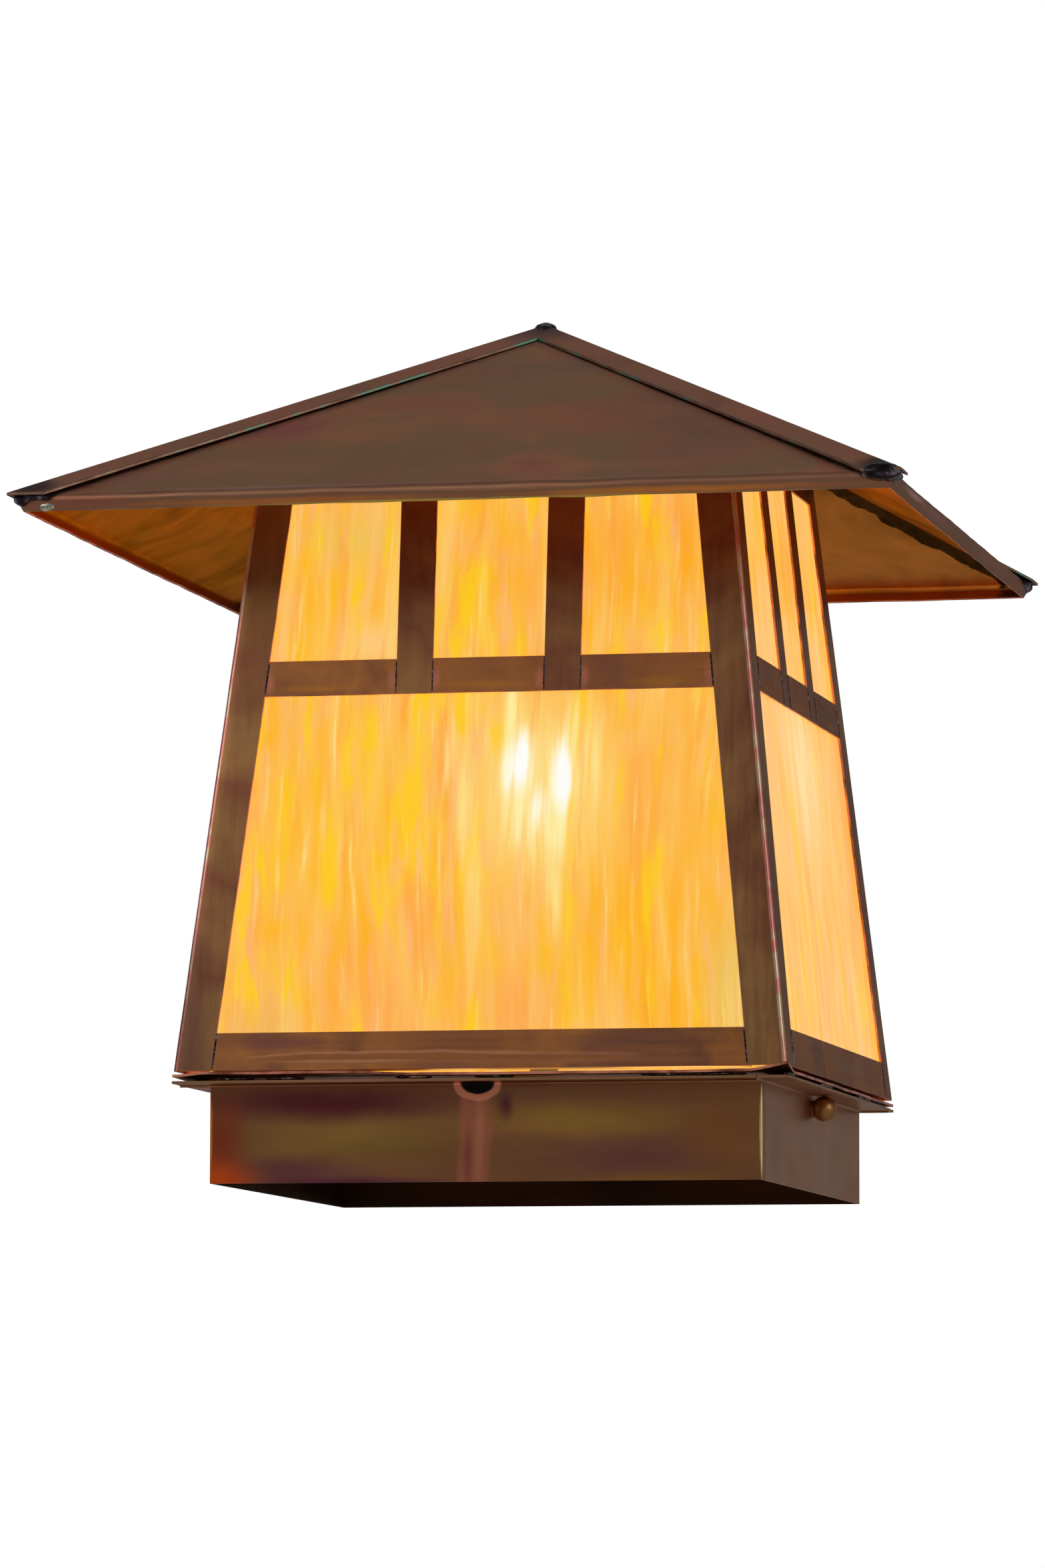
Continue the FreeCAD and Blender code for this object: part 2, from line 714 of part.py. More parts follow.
def make_mullions():
    """Two upright bars on the front, from under the roof to the foot of the middle rail."""
    bars = []
    for centre in (-mullion_spacing / 2, mullion_spacing / 2):
        low = centre - mullion_width / 2
        high = centre + mullion_width / 2
        bars.append(face_strip(mid_low, top_rail_bottom, lambda z, x=low: x, lambda z, x=high: x, 0.0, sheet))
    return Part.makeCompound(bars)


def make_top_rail():
    """Front top rail with its flange folded in against the underside of the roof."""
    rail = face_strip(top_rail_bottom, body_top, lambda z: -leg_inner(z), leg_inner, 0.0, sheet)
    half = leg_inner(body_top)
    outer_y = -half_width_at(body_top)
    thickness = sheet * slope_factor
    corners = []
    for y, drop in ((outer_y, 0.0), (outer_y + top_rail_flange, 0.0), (outer_y + top_rail_flange, thickness),
                    (outer_y, thickness)):
        corners.append(Vector(-half, y, peak_z - roof_to_rail + roof_slope * y - drop))
    flange = prism(corners, Vector(2 * half, 0, 0))
    return rail.fuse(flange).removeSplitter()


def make_glass():
    """Front pane of streaky glass behind the metal."""
    low = body_bottom + sheet + lap_gap
    high = body_top - glass_top_gap

    def edge(z):
        return half_width_at(z) - glass_edge_inset

    return face_strip(low, high, lambda z: -edge(z), edge, sheet + glass_gap, glass_back)


def make_clip(height):
    """Clip that holds the front pane's right-hand edge, soldered in the corner angle."""
    z = body_bottom + height
    corner = half_width_at(z)
    web = glass_edge_inset - clip_edge_gap
    behind = glass_back + glass_gap
    section = [(clip_foot_inset, sheet), (web, sheet), (web, behind), (web + clip_lap, behind),
               (web + clip_lap, behind + clip_thickness), (web - clip_thickness, behind + clip_thickness),
               (web - clip_thickness, sheet + clip_thickness), (clip_foot_inset, sheet + clip_thickness)]
    points = [Vector(corner - inset, -corner + depth, z) for inset, depth in section]
    drift = body_lean * clip_height
    return prism(points, Vector(-drift, drift, clip_height))


def make_glass_clips():
    """All the clips: two on each upright edge of each pane."""
    clips = []
    for height in clip_heights:
        right = make_clip(height)
        for clip in (right, mirrored(right)):
            clips.extend(turned(clip, angle) for angle in QUARTER_TURNS.values())
    return Part.makeCompound(clips)


def make_hanging_tab():
    """Right-hand tab from the bottom rail's lip down inside the sleeve, open below for the screw."""
    half = tab_width / 2
    arm_low = body_bottom + sheet
    arm_high = arm_low + tab_thickness
    arm_end = half_width_at(arm_high) - glass_back - tab_clearance
    low = strap_height + tab_post_gap
    arm = box((tab_inner, arm_end), (-half, half), (arm_low, arm_high))
    hanger = box((tab_inner, tab_outer), (-half, half), (low, arm_high))
    slot_half = screw_radius + tab_clearance
    through = (tab_inner - overshoot, tab_outer + overshoot)
    slot = box(through, (-slot_half, slot_half), (low - overshoot, screw_height))
    slot = slot.fuse(side_rod(slot_half, *through, screw_height))
    return arm.fuse(hanger).cut(slot).removeSplitter()


def make_hanging_tabs():
    """The right-hand and the left-hand hanging tab."""
    tab = make_hanging_tab()
    return Part.makeCompound([tab, mirrored(tab)])


# ---------------------------------------------------------------- roof


def make_roof_panel():
    """Front roof panel with its fascia, mitred along the hips."""
    beyond = roof_fold_radius + sheet
    peak = (beyond, peak_z + roof_slope * beyond)
    lower_edge = (-(roof_half_width - fascia_lean), eave_z - fascia_height)
    sheet_metal = folded_sheet(peak, (-roof_half_width, eave_z), lower_edge, sheet, roof_fold_radius,
                               2 * roof_half_width)
    reach = roof_half_width + overshoot
    wedge = prism([Vector(0, 0, 0), Vector(-reach, -reach, 0), Vector(reach, -reach, 0)],
                  Vector(0, 0, peak_z + overshoot))
    return sheet_metal.common(wedge)


def make_hip_cap():
    """Front right-hand hip cap: a shallow V carried down the hip, cut off along the eaves."""
    side_slope = roof_slope / math.sqrt(2)
    reach = hip_cap_leg / math.hypot(1.0, side_slope)
    drop = side_slope * reach
    low_face = lap_gap * slope_factor
    high_face = (lap_gap + sheet) * slope_factor
    section = [(-reach, low_face - drop), (0.0, low_face), (reach, low_face - drop),
               (reach, high_face - drop), (0.0, high_face), (-reach, high_face - drop)]
    across = Vector(1, 1, 0).normalize()
    start = hip_cap_leg
    foot = Vector(-start, start, peak_z + cap_slope * start)
    points = [foot + across * a + UP * z for a, z in section]
    run = roof_half_width + hip_cap_overhang + 2 * start
    cap = prism(points, Vector(run + start, -run - start, -cap_slope * (run + start)))
    limit = roof_half_width + hip_cap_overhang
    return cap.common(box((0, limit), (-limit, 0), (0, peak_z + hip_cap_leg)))


def make_roof_solder():
    """Solder drop over the caps at the peak, and a bead on each corner of the fascia."""
    cap_peak = peak_z + (lap_gap + sheet) * slope_factor
    drop = Part.makeSphere(peak_solder_radius, Vector(0, 0, cap_peak + peak_solder_rise - peak_solder_radius))
    drops = [drop.cut(pyramid(roof_half_width, cap_peak - cap_rise, cap_peak))]
    neighbours = [turned(make_roof_panel(), QUARTER_TURNS[side]) for side in ("front", "right")]
    neighbours.append(make_hip_cap())
    low_half = roof_half_width - fascia_lean
    low = Vector(low_half, -low_half, eave_z - fascia_height)
    high = Vector(roof_half_width, -roof_half_width, eave_z)
    bead = Part.makeCylinder(eave_bead_radius, eave_bead_length, low, high - low)
    inner = low_half - sheet / 2
    outer = roof_half_width + eave_bead_radius
    bead = bead.common(box((inner, outer), (-outer, -inner), (low.z, high.z + eave_bead_length)))
    for neighbour in neighbours:
        bead = bead.cut(neighbour)
    bead = max(bead.Solids, key=lambda solid: solid.Volume)
    drops.extend(turned(bead, angle) for angle in QUARTER_TURNS.values())
    return Part.makeCompound(drops)


# ---------------------------------------------------------------- all the pieces


def make_nodes():
    """Every sub-part by name."""
    sleeve_front = make_sleeve_front()
    sleeve_right = make_sleeve_right()
    knob_washer = make_knob_washer()
    knob = make_knob()
    nodes = {
        "sleeve_front": sleeve_front,
        "sleeve_back": turned(sleeve_front, QUARTER_TURNS["back"]),
        "sleeve_right": sleeve_right,
        "sleeve_left": turned(sleeve_right, QUARTER_TURNS["back"]),
        "base_plate": make_base_plate(),
        "base_plate_solder": make_plate_solder(),
        "crossbar": make_crossbar(),
        "threaded_pipe": make_pipe(),
        "pipe_lock_nuts": make_lock_nuts(),
        "pipe_lock_washer": make_lock_washer(),
        "ground_screw": make_ground_screw(),
        "side_screws": make_side_screws(),
        "lampholder_cap": make_holder_cap(),
        "lampholder_body": make_holder_body(),
        "lampholder_shell": make_holder_shell(),
        "lampholder_contact": make_holder_contact(),
        "lampholder_terminal_screws": make_terminal_screws(),
        "bulb_foot_contact": make_bulb_foot(),
        "bulb_insulator": make_bulb_insulator(),
        "bulb_screw_shell": make_bulb_shell(),
        "bulb_envelope": make_bulb_envelope(),
        "bulb_stem": make_bulb_stem(),
        "bulb_filament": make_bulb_filament(),
        "knob_washer_right": knob_washer,
        "knob_washer_left": mirrored(knob_washer),
        "ball_knob_right": knob,
        "ball_knob_left": mirrored(knob),
        "hanging_tabs": make_hanging_tabs(),
        "glass_clips": make_glass_clips(),
        "roof_solder": make_roof_solder(),
        "top_rails": Part.makeCompound([turned(make_top_rail(), angle) for angle in QUARTER_TURNS.values()]),
    }
    sided = {
        "bottom_rail": make_bottom_rail(),
        "mid_rail": make_mid_rail(),
        "mullions": make_mullions(),
        "glass": make_glass(),
        "roof_panel": make_roof_panel(),
    }
    for name, shape in sided.items():
        for side, angle in QUARTER_TURNS.items():
            nodes[f"{name}_{side}"] = turned(shape, angle)
    cornered = {"corner_angle": make_corner_angle(), "hip_cap": make_hip_cap()}
    for name, shape in cornered.items():
        for corner, angle in CORNER_TURNS.items():
            nodes[f"{name}_{corner}"] = turned(shape, angle)
    return nodes


os.makedirs("parts", exist_ok=True)
for node_name, node_shape in make_nodes().items():
    node_shape.exportStep(f"parts/{node_name}.step")
    valid = node_shape.isValid() and all(solid.isClosed() for solid in node_shape.Solids)
    print(f"{node_name}: {len(node_shape.Solids)} solid(s), {node_shape.Volume:.1f} mm3, valid {valid}")
print(f"body {body_bottom:.2f} to {body_top:.2f}, peak {peak_z:.2f}, screw height {screw_height:.2f}")
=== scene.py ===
# %% [markdown]
# # A post cap lantern in patinated copper and streaky amber glass
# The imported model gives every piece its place. This lesson dresses it: thin sheet metal gets
# its folds, ripples and cut edges, solder gets its lumps, and glass gets its streaks and glow.
# Lengths in the cells below are millimetres, because that is how a tinsmith thinks. They are
# turned to metres once, when a mesh is made.

# %% Load the frame
import json
import math

import bpy
import bmesh
import numpy as np
from mathutils import Matrix, Vector


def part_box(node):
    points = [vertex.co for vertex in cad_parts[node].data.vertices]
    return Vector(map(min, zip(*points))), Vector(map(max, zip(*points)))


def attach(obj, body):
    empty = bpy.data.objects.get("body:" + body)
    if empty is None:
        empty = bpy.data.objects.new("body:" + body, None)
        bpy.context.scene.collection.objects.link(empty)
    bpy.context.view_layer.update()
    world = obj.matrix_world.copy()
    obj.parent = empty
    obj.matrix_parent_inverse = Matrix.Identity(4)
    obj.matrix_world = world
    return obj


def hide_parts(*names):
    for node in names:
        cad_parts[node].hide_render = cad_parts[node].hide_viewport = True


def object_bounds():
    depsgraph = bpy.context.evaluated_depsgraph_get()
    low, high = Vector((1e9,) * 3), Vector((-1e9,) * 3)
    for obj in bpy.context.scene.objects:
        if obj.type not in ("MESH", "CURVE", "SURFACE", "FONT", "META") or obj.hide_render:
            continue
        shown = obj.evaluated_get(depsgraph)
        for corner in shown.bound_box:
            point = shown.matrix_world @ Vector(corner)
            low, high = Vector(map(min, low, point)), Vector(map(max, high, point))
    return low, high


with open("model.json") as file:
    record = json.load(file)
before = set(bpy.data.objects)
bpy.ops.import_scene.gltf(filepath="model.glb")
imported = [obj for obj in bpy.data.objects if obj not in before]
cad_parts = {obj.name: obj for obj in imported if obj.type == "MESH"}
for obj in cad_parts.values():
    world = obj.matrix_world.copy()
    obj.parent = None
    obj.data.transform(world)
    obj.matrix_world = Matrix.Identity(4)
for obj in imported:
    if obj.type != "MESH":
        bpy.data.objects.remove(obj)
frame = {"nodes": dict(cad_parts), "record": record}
cad_low, cad_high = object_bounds()
MM = 0.001

# %% [markdown]
# The lantern's sizes come from the frame where a piece shows them, and the few that it can't
# show, such as the sheet's thickness, are named here.

# %% Sizes
def node_box(name):
    """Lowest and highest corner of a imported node, in millimetres."""
    low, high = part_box(name)
    return np.array(low) / MM, np.array(high) / MM


SHEET = 0.9                                   # copper sheet
LAP = 0.1                                     # air between two laid-on sheets
PLATE_TOP = node_box("base_plate")[0][2] + SHEET
BODY_BOTTOM = node_box("bottom_rail_front")[0][2]
BODY_HALF = -node_box("corner_angle_front_right")[0][1]
BODY_TOP = node_box("corner_angle_front_right")[1][2]
RAIL_TOP = node_box("bottom_rail_front")[1][2]
MID_LOW, MID_HIGH = (node_box("mid_rail_front")[i][2] for i in (0, 1))
TOP_RAIL_LOW = node_box("mullions_front")[1][2]
LEAN = 0.110                                  # inward lean of the walls per millimetre of height
LEG = 13.8                                    # width of a corner angle's leg
ANGLE_BEND = 1.3                              # outside radius of its fold
MULLION_SPACING = 52.6
MULLION_WIDTH = 13.0
MULLION_OUT = MULLION_SPACING / 2 + MULLION_WIDTH / 2
MULLION_IN = MULLION_SPACING / 2 - MULLION_WIDTH / 2
ROOF_HALF = 153.6                             # at the eave's fold
EAVE_BEND = 3.0
FASCIA_LEAN = 2.6
FASCIA_HEIGHT = 5.0
FASCIA_Z = node_box("roof_panel_front")[0][2]
EAVE_Z = FASCIA_Z + FASCIA_HEIGHT
PEAK_Z = node_box("roof_panel_front")[1][2]
SLOPE = (PEAK_Z - EAVE_Z) / ROOF_HALF
SLOPE_FACTOR = math.hypot(1.0, SLOPE)
CAP_LEG = 10.2                                # width of a hip cap's leg
CAP_LIFT = 1.2                                # how far it stands off the hip at the eave
CAP_SLOPE = SLOPE - CAP_LIFT / ROOF_HALF
CAP_SIDE_SLOPE = SLOPE / math.sqrt(2)
CAP_REACH = CAP_LEG / math.hypot(1.0, CAP_SIDE_SLOPE)
SLEEVE_TOP = node_box("sleeve_front")[1][2]
SLEEVE_OUT = node_box("sleeve_front")[1][0]
PLATE_HALF = node_box("base_plate")[1][0]
PLATE_LOW = node_box("base_plate")[0][2]
KNOB_SEAT = node_box("ball_knob_right")[0][0]
KNOB_Z = float(np.mean([corner[2] for corner in node_box("ball_knob_right")]))
CAP_END = node_box("hip_cap_front_right")[1][0]
SIDE_ANGLES = {"front": 0, "right": 90, "back": 180, "left": 270}
CORNER_ANGLES = {"front_right": 0, "back_right": 90, "back_left": 180, "front_left": 270}
print(f"body {BODY_BOTTOM:.1f} to {BODY_TOP:.1f}, eave {EAVE_Z:.1f}, peak {PEAK_Z:.1f}, slope {SLOPE:.4f}")

# %% [markdown]
# ## Camera, backdrop and light
# The photograph was taken from low down with a long lens, so the camera looks up under the
# eaves. The backdrop is pure white to the camera, while the metal mirrors a dimmer room: a
# lantern shot on white is lit by soft boxes with dark gaps between them. A world that answers
# camera rays with one value and all others with a shaded dome does both.

# %% Camera
PHOTO_WIDTH, PHOTO_HEIGHT = 1568, 2352
CAMERA_PLACE = (0.5589, -2.5757, -0.1188)
CAMERA_TURN, CAMERA_RISE, CAMERA_ROLL = (math.radians(a) for a in (12.415, 5.759, 0.146))
FOCAL_PIXELS = 11080.0
SENSOR = 36.0

camera_data = bpy.data.cameras.new("camera")
camera_data.sensor_width = SENSOR
camera_data.lens = SENSOR * FOCAL_PIXELS / max(PHOTO_WIDTH, PHOTO_HEIGHT)
camera = bpy.data.objects.new("camera", camera_data)
bpy.context.scene.collection.objects.link(camera)
camera.location = CAMERA_PLACE
camera.rotation_mode = "QUATERNION"
upright = Matrix.Rotation(math.radians(90) + CAMERA_RISE, 3, "X")
camera.rotation_quaternion = (
    Matrix.Rotation(CAMERA_TURN, 3, "Z") @ upright @ Matrix.Rotation(CAMERA_ROLL, 3, "Z")
).to_quaternion()
bpy.context.scene.camera = camera
print(f"lens {camera_data.lens:.1f} mm")

# %% Node helpers
def linear(code):
    """Linear RGBA of an sRGB hex colour: each channel is undone with the sRGB transfer curve."""
    channels = np.array([int(code[i:i + 2], 16) for i in (1, 3, 5)]) / 255.0
    straight = np.where(channels <= 0.04045, channels / 12.92, ((channels + 0.055) / 1.055) ** 2.4)
    return (*straight.tolist(), 1.0)


def fill(tree, node, inputs):
    """Sets a node's sockets to values, or links them to other sockets."""
    for name, value in inputs.items():
        if isinstance(value, bpy.types.NodeSocket):
            tree.links.new(value, node.inputs[name])
        else:
            node.inputs[name].default_value = value


def add_node(tree, kind, inputs=None, stops=(), **settings):
    """Adds one node, sets its properties and colour stops, and fills its sockets with values or links."""
    node = tree.nodes.new(kind)
    for name, value in settings.items():
        setattr(node, name, value)
    fill(tree, node, inputs or {})
    for number, (position, colour) in enumerate(stops):
        elements = node.color_ramp.elements
        if number >= len(elements):
            elements.new(position)
        elements[number].position = position
        if isinstance(colour, str):
            colour = linear(colour)
        elements[number].color = colour if isinstance(colour, tuple) else (colour, colour, colour, 1.0)
    return node


def calc(tree, operation, *values, **settings):
    """Result of a math node."""
    inputs = dict(enumerate(values))
    return add_node(tree, "ShaderNodeMath", inputs, operation=operation, **settings).outputs[0]


def vector(tree, operation, *values, output=0):
    """Result of a vector math node."""
    inputs = dict(enumerate(values))
    return add_node(tree, "ShaderNodeVectorMath", inputs, operation=operation).outputs[output]


def remap(tree, value, low=0.0, high=1.0, to_low=0.0, to_high=1.0, **settings):
    """Value stretched from low and high to to_low and to_high, and held between them."""
    inputs = {"Value": value, "From Min": low, "From Max": high, "To Min": to_low, "To Max": to_high}
    return add_node(tree, "ShaderNodeMapRange", inputs, **settings).outputs[0]


def ramp(tree, value, stops):
    """Colour at a value between 0 and 1 along the stops."""
    return add_node(tree, "ShaderNodeValToRGB", {"Fac": value}, stops=stops).outputs[0]


def noise(tree, place, scale, detail, output="Fac", **more):
    """Cloudy noise whose blots are about 1 / scale metres across."""
    inputs = {"Vector": place, "Scale": scale, "Detail": detail, **more}
    return add_node(tree, "ShaderNodeTexNoise", inputs).outputs[output]


def moved(tree, place, **inputs):
    """Place after a Location, Rotation and Scale."""
    return add_node(tree, "ShaderNodeMapping", {"Vector": place, **inputs}).outputs[0]


def joined(tree, x, y, z):
    """Vector of three values."""
    return add_node(tree, "ShaderNodeCombineXYZ", {"X": x, "Y": y, "Z": z}).outputs[0]


def laid_over(tree, share, under, over):
    """Colour over laid on the colour under by a share."""
    return add_node(tree, "ShaderNodeMixRGB", {"Fac": share, "Color1": under, "Color2": over}).outputs[0]


def bumped(tree, height, distance, strength, **more):
    """Normal over bumps of a height from 0 to 1, a distance in mm at its full strength."""
    inputs = {"Height": height, "Distance": distance * MM, "Strength": strength, **more}
    return add_node(tree, "ShaderNodeBump", inputs).outputs[0]


def either(tree, share, first, second):
    """Shader between two others."""
    return add_node(tree, "ShaderNodeMixShader", {0: share, 1: first, 2: second}).outputs[0]


def new_material(name):
    """Empty node material with its tree and its principled shader."""
    material = bpy.data.materials.new(name)
    material.use_nodes = True
    tree = material.node_tree
    tree.nodes.clear()
    shader = add_node(tree, "ShaderNodeBsdfPrincipled")
    add_node(tree, "ShaderNodeOutputMaterial", {"Surface": shader.outputs[0]})
    return material, tree, shader


def object_place(tree):
    """Place on the object, in metres."""
    return add_node(tree, "ShaderNodeTexCoord").outputs["Object"]


# %% World
DOME = [(0.0, 0.10), (0.40, 0.14), (0.49, 0.26), (0.54, 0.24), (0.60, 0.19), (0.75, 0.21), (1.0, 0.24)]

world = bpy.data.worlds.new("studio")
bpy.context.scene.world = world
world.use_nodes = True
sky = world.node_tree
sky.nodes.clear()
direction = add_node(sky, "ShaderNodeTexCoord").outputs["Generated"]
height = add_node(sky, "ShaderNodeSeparateXYZ", {"Vector": direction}).outputs["Z"]
shades = ramp(sky, remap(sky, height, -1.0, 1.0), DOME)
dome = add_node(sky, "ShaderNodeBackground", {"Color": shades, "Strength": 1.0}).outputs[0]
white = add_node(sky, "ShaderNodeBackground", {"Color": (1.0, 1.0, 1.0, 1.0), "Strength": 1.0}).outputs[0]
to_camera = add_node(sky, "ShaderNodeLightPath").outputs["Is Camera Ray"]
add_node(sky, "ShaderNodeOutputWorld", {"Surface": either(sky, to_camera, dome, white)})
bpy.context.scene.view_settings.view_transform = "Standard"

# %% [markdown]
# Two large soft boxes light the copper. The floor is a paper sheet far below. The camera sees it
# pale and even from above, and looks through it from below, so low views show the whole lantern.

# %% Lights and floor
FLOOR_Z, FLOOR_HALF = -0.45, 6.0


def soft_box(name, place, target, size, watts):
    """Square area light at a place, turned to face a target."""
    data = bpy.data.lights.new(name, "AREA")
    data.shape = "SQUARE"
    data.size = size
    data.energy = watts
    light = bpy.data.objects.new(name, data)
    bpy.context.scene.collection.objects.link(light)
    light.location = place
    light.rotation_mode = "QUATERNION"
    light.rotation_quaternion = (Vector(target) - Vector(place)).to_track_quat("-Z", "Y")


soft_box("key_box", (-1.6, -2.2, 1.6), (0, 0, 0.15), 1.4, 14.0)
soft_box("fill_box", (2.4, -1.4, 0.9), (0, 0, 0.15), 1.2, 8.0)

floor_mesh = bpy.data.meshes.new("floor")
corners = [(-1, -1), (1, -1), (1, 1), (-1, 1)]
floor_mesh.from_pydata([(x * FLOOR_HALF, y * FLOOR_HALF, FLOOR_Z) for x, y in corners], [], [(0, 1, 2, 3)])
floor = bpy.data.objects.new("floor", floor_mesh)
bpy.context.scene.collection.objects.link(floor)

paper, tree, shader = new_material("seamless_paper")
fill(tree, shader, {"Base Color": linear("#f4f3f1"), "Roughness": 0.9})
glow = add_node(tree, "ShaderNodeEmission", {"Color": linear("#efeeec")}).outputs[0]
clear = add_node(tree, "ShaderNodeBsdfTransparent").outputs[0]
from_below = add_node(tree, "ShaderNodeNewGeometry").outputs["Backfacing"]
shown = either(tree, from_below, glow, clear)
to_camera = add_node(tree, "ShaderNodeLightPath").outputs["Is Camera Ray"]
fill(tree, tree.nodes["Material Output"], {"Surface": either(tree, to_camera, shader.outputs[0], shown)})
floor_mesh.materials.append(paper)

# %% [markdown]
# ## Meshes as surfaces
# Every new piece is a surface worked out on a grid of two parameters. A sheet has an outer and
# an inner skin, and the strip that joins their borders is the cut edge, where the bare copper
# shows. That strip gets its own material, and so does the small bevel along every fold line.

# %% Grid helpers
def grid_faces(rows, columns, closed=False):
    """Quads of a rows x columns grid of vertices, numbered row by row.

    closed joins the last column to the first.
    """
    across = columns if closed else columns - 1
    row, column = np.meshgrid(np.arange(rows - 1), np.arange(across), indexing="ij")
    here = row * columns + column
    right = row * columns + (column + 1) % columns
    return np.stack([here, right, right + columns, here + columns], axis=-1).reshape(-1, 4)


def turned(points, degrees):
    """Points turned about the upright axis."""
    a = math.radians(degrees)
    turn = np.array([[math.cos(a), -math.sin(a), 0], [math.sin(a), math.cos(a), 0], [0, 0, 1]])
    return points @ turn.T


def ripple(a, b, wavelength, seed):
    """Smooth unevenness, mostly from -1 to 1.

    Eight sine waves of 0.6 to 1.6 times the wavelength, in seeded directions.
    """
    draw = np.random.default_rng(seed)
    total = np.zeros(np.broadcast(a, b).shape)
    for _ in range(8):
        heading, phase = draw.uniform(0, 2 * math.pi, 2)
        length = wavelength * draw.uniform(0.6, 1.6)
        wave = (np.asarray(a) * math.cos(heading) + np.asarray(b) * math.sin(heading)) / length
        total = total + np.sin(2 * math.pi * wave + phase)
    return total / 4.0


def smoothstep(low, high, value):
    """0 below low, 1 above high, and a smooth curve between."""
    t = np.clip((value - low) / (high - low), 0.0, 1.0)
    return t * t * (3 - 2 * t)


def make_piece(name, parts, materials, body, replaced=(), bevel=0.0, crease=38.0):
    """Mesh piece from parts of (vertices in mm, faces, material indices), riding on a body."""
    vertices, faces, indices, count = [], [], [], 0
    for points, quads, index in parts:
        vertices.append(points)
        faces.append(quads + count)
        indices.append(index)
        count += len(points)
    mesh = bpy.data.meshes.new(name)
    mesh.from_pydata((np.concatenate(vertices) * MM).tolist(), [], [f.tolist() for f in faces for f in f])
    mesh.polygons.foreach_set("material_index", np.concatenate(indices).astype(np.int32))
    for material in materials:
        mesh.materials.append(material)
    work = bmesh.new()
    work.from_mesh(mesh)
    bmesh.ops.remove_doubles(work, verts=work.verts, dist=1e-7)
    bmesh.ops.recalc_face_normals(work, faces=work.faces)
    work.to_mesh(mesh)
    work.free()
    mesh.shade_smooth()
    mesh.set_sharp_from_angle(angle=math.radians(crease))
    piece = bpy.data.objects.new(name, mesh)
    bpy.context.scene.collection.objects.link(piece)
    if bevel:
        edge = piece.modifiers.new("edge", "BEVEL")
        edge.width = bevel * MM
        edge.segments = 2
        edge.limit_method = "ANGLE"
        edge.angle_limit = math.radians(crease)
        edge.material = len(materials) - 1
        edge.harden_normals = True
    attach(piece, body)
    for node in replaced:
        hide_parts(node)


def copper_sheet(node, parts, *materials, body="lantern", bevel=0.16, crease=38.0):
    """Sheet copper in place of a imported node. The last material is that of cut and bevelled edges."""
    make_piece(f"{node}_sheet", parts, materials, body, [node], bevel, crease)


def sheet_part(outer, inner, angle=0.0, kinds=(0, 0, 1)):
    """Closed sheet between two skins, (rows, columns, 3) grids. kinds are the materials of skins and rim."""
    rows, columns = outer.shape[:2]
    count = rows * columns
    skin = grid_faces(rows, columns)
    index = np.arange(count).reshape(rows, columns)
    border = np.concatenate([index[0], index[1:, -1], index[-1, -2::-1], index[-2:0:-1, 0]])
    following = np.roll(border, -1)
    rim = np.stack([following, border, border + count, following + count], axis=-1)
    points = turned(np.concatenate([outer.reshape(-1, 3), inner.reshape(-1, 3)]), angle)
    faces = np.concatenate([skin, skin[:, ::-1] + count, rim])
    return points, faces, np.repeat(kinds, [len(skin), len(skin), len(rim)])


def full_turn(count):
    """Angles of count equal steps round a circle."""
    return np.linspace(0, 2 * math.pi, count, endpoint=False)


def turned_part(part, degrees):
    """A part turned about the upright axis."""
    points, faces, kinds = part
    return turned(points, degrees), faces, kinds


def lump_part(centre, radii, seed, lumps=0.12, kind=0, rows=17, columns=28):
    """Lumpy ellipsoid: a sphere of latitude and longitude, its radius stirred by a ripple."""
    rise = np.linspace(-math.pi / 2, math.pi / 2, rows)
    latitude, longitude = np.meshgrid(rise, full_turn(columns), indexing="ij")
    ball = np.stack([np.cos(latitude) * np.cos(longitude), np.cos(latitude) * np.sin(longitude),
                     np.sin(latitude)], axis=-1)
    x, y, z = np.moveaxis(ball, -1, 0)
    swell = 1 + lumps * ripple(x + 2 * z, y - z, 1.1, seed)[..., None]
    points = (ball * swell * radii + centre).reshape(-1, 3)
    faces = grid_faces(rows, columns, closed=True)
    return points, faces, np.full(len(faces), kind)


def bead_part(start, end, radius, seed, flat=(1.0, 1.0), sides=14):
    """Lumpy run between two points: a tube whose radius swells by a ripple and closes at both ends.

    flat scales it along the two directions square to the run: sideways, and then upwards.
    """
    start, end = np.array(start, float), np.array(end, float)
    length = np.linalg.norm(end - start)
    along = (end - start) / length
    helper = np.array([0.0, 0.0, 1.0]) if abs(along[2]) < 0.9 else np.array([0.0, 1.0, 0.0])
    sideways = np.cross(along, helper)
    sideways /= np.linalg.norm(sideways)
    upwards = np.cross(sideways, along)
    rows = max(8, int(length / max(radius, 0.5)) * 2)
    t, turn = np.meshgrid(np.linspace(0, 1, rows), full_turn(sides), indexing="ij")
    ends = np.sqrt(np.clip(1 - (2 * t - 1) ** 2, 0, 1)) ** 0.5
    girth = radius * ends * (1 + 0.28 * ripple(t * length, seed, 5.0 * radius, seed))
    points = (start + (end - start) * t[..., None] + sideways * (girth * flat[0] * np.cos(turn))[..., None]
              + upwards * (girth * flat[1] * np.sin(turn))[..., None])
    faces = grid_faces(rows, sides, closed=True)
    return points.reshape(-1, 3), faces, np.zeros(len(faces), int)


def lathe_part(profile, sides=64):
    """Profile of (radius, height) points turned about the upright axis."""
    profile = np.array(profile, float)
    turn = full_turn(sides)[None, :]
    radius, height = profile[:, :1], profile[:, 1:]
    x, y, z = np.broadcast_arrays(radius * np.cos(turn), radius * np.sin(turn), height)
    faces = grid_faces(len(profile), sides, closed=True)
    return np.stack([x, y, z], axis=-1).reshape(-1, 3), faces, np.zeros(len(faces), int)


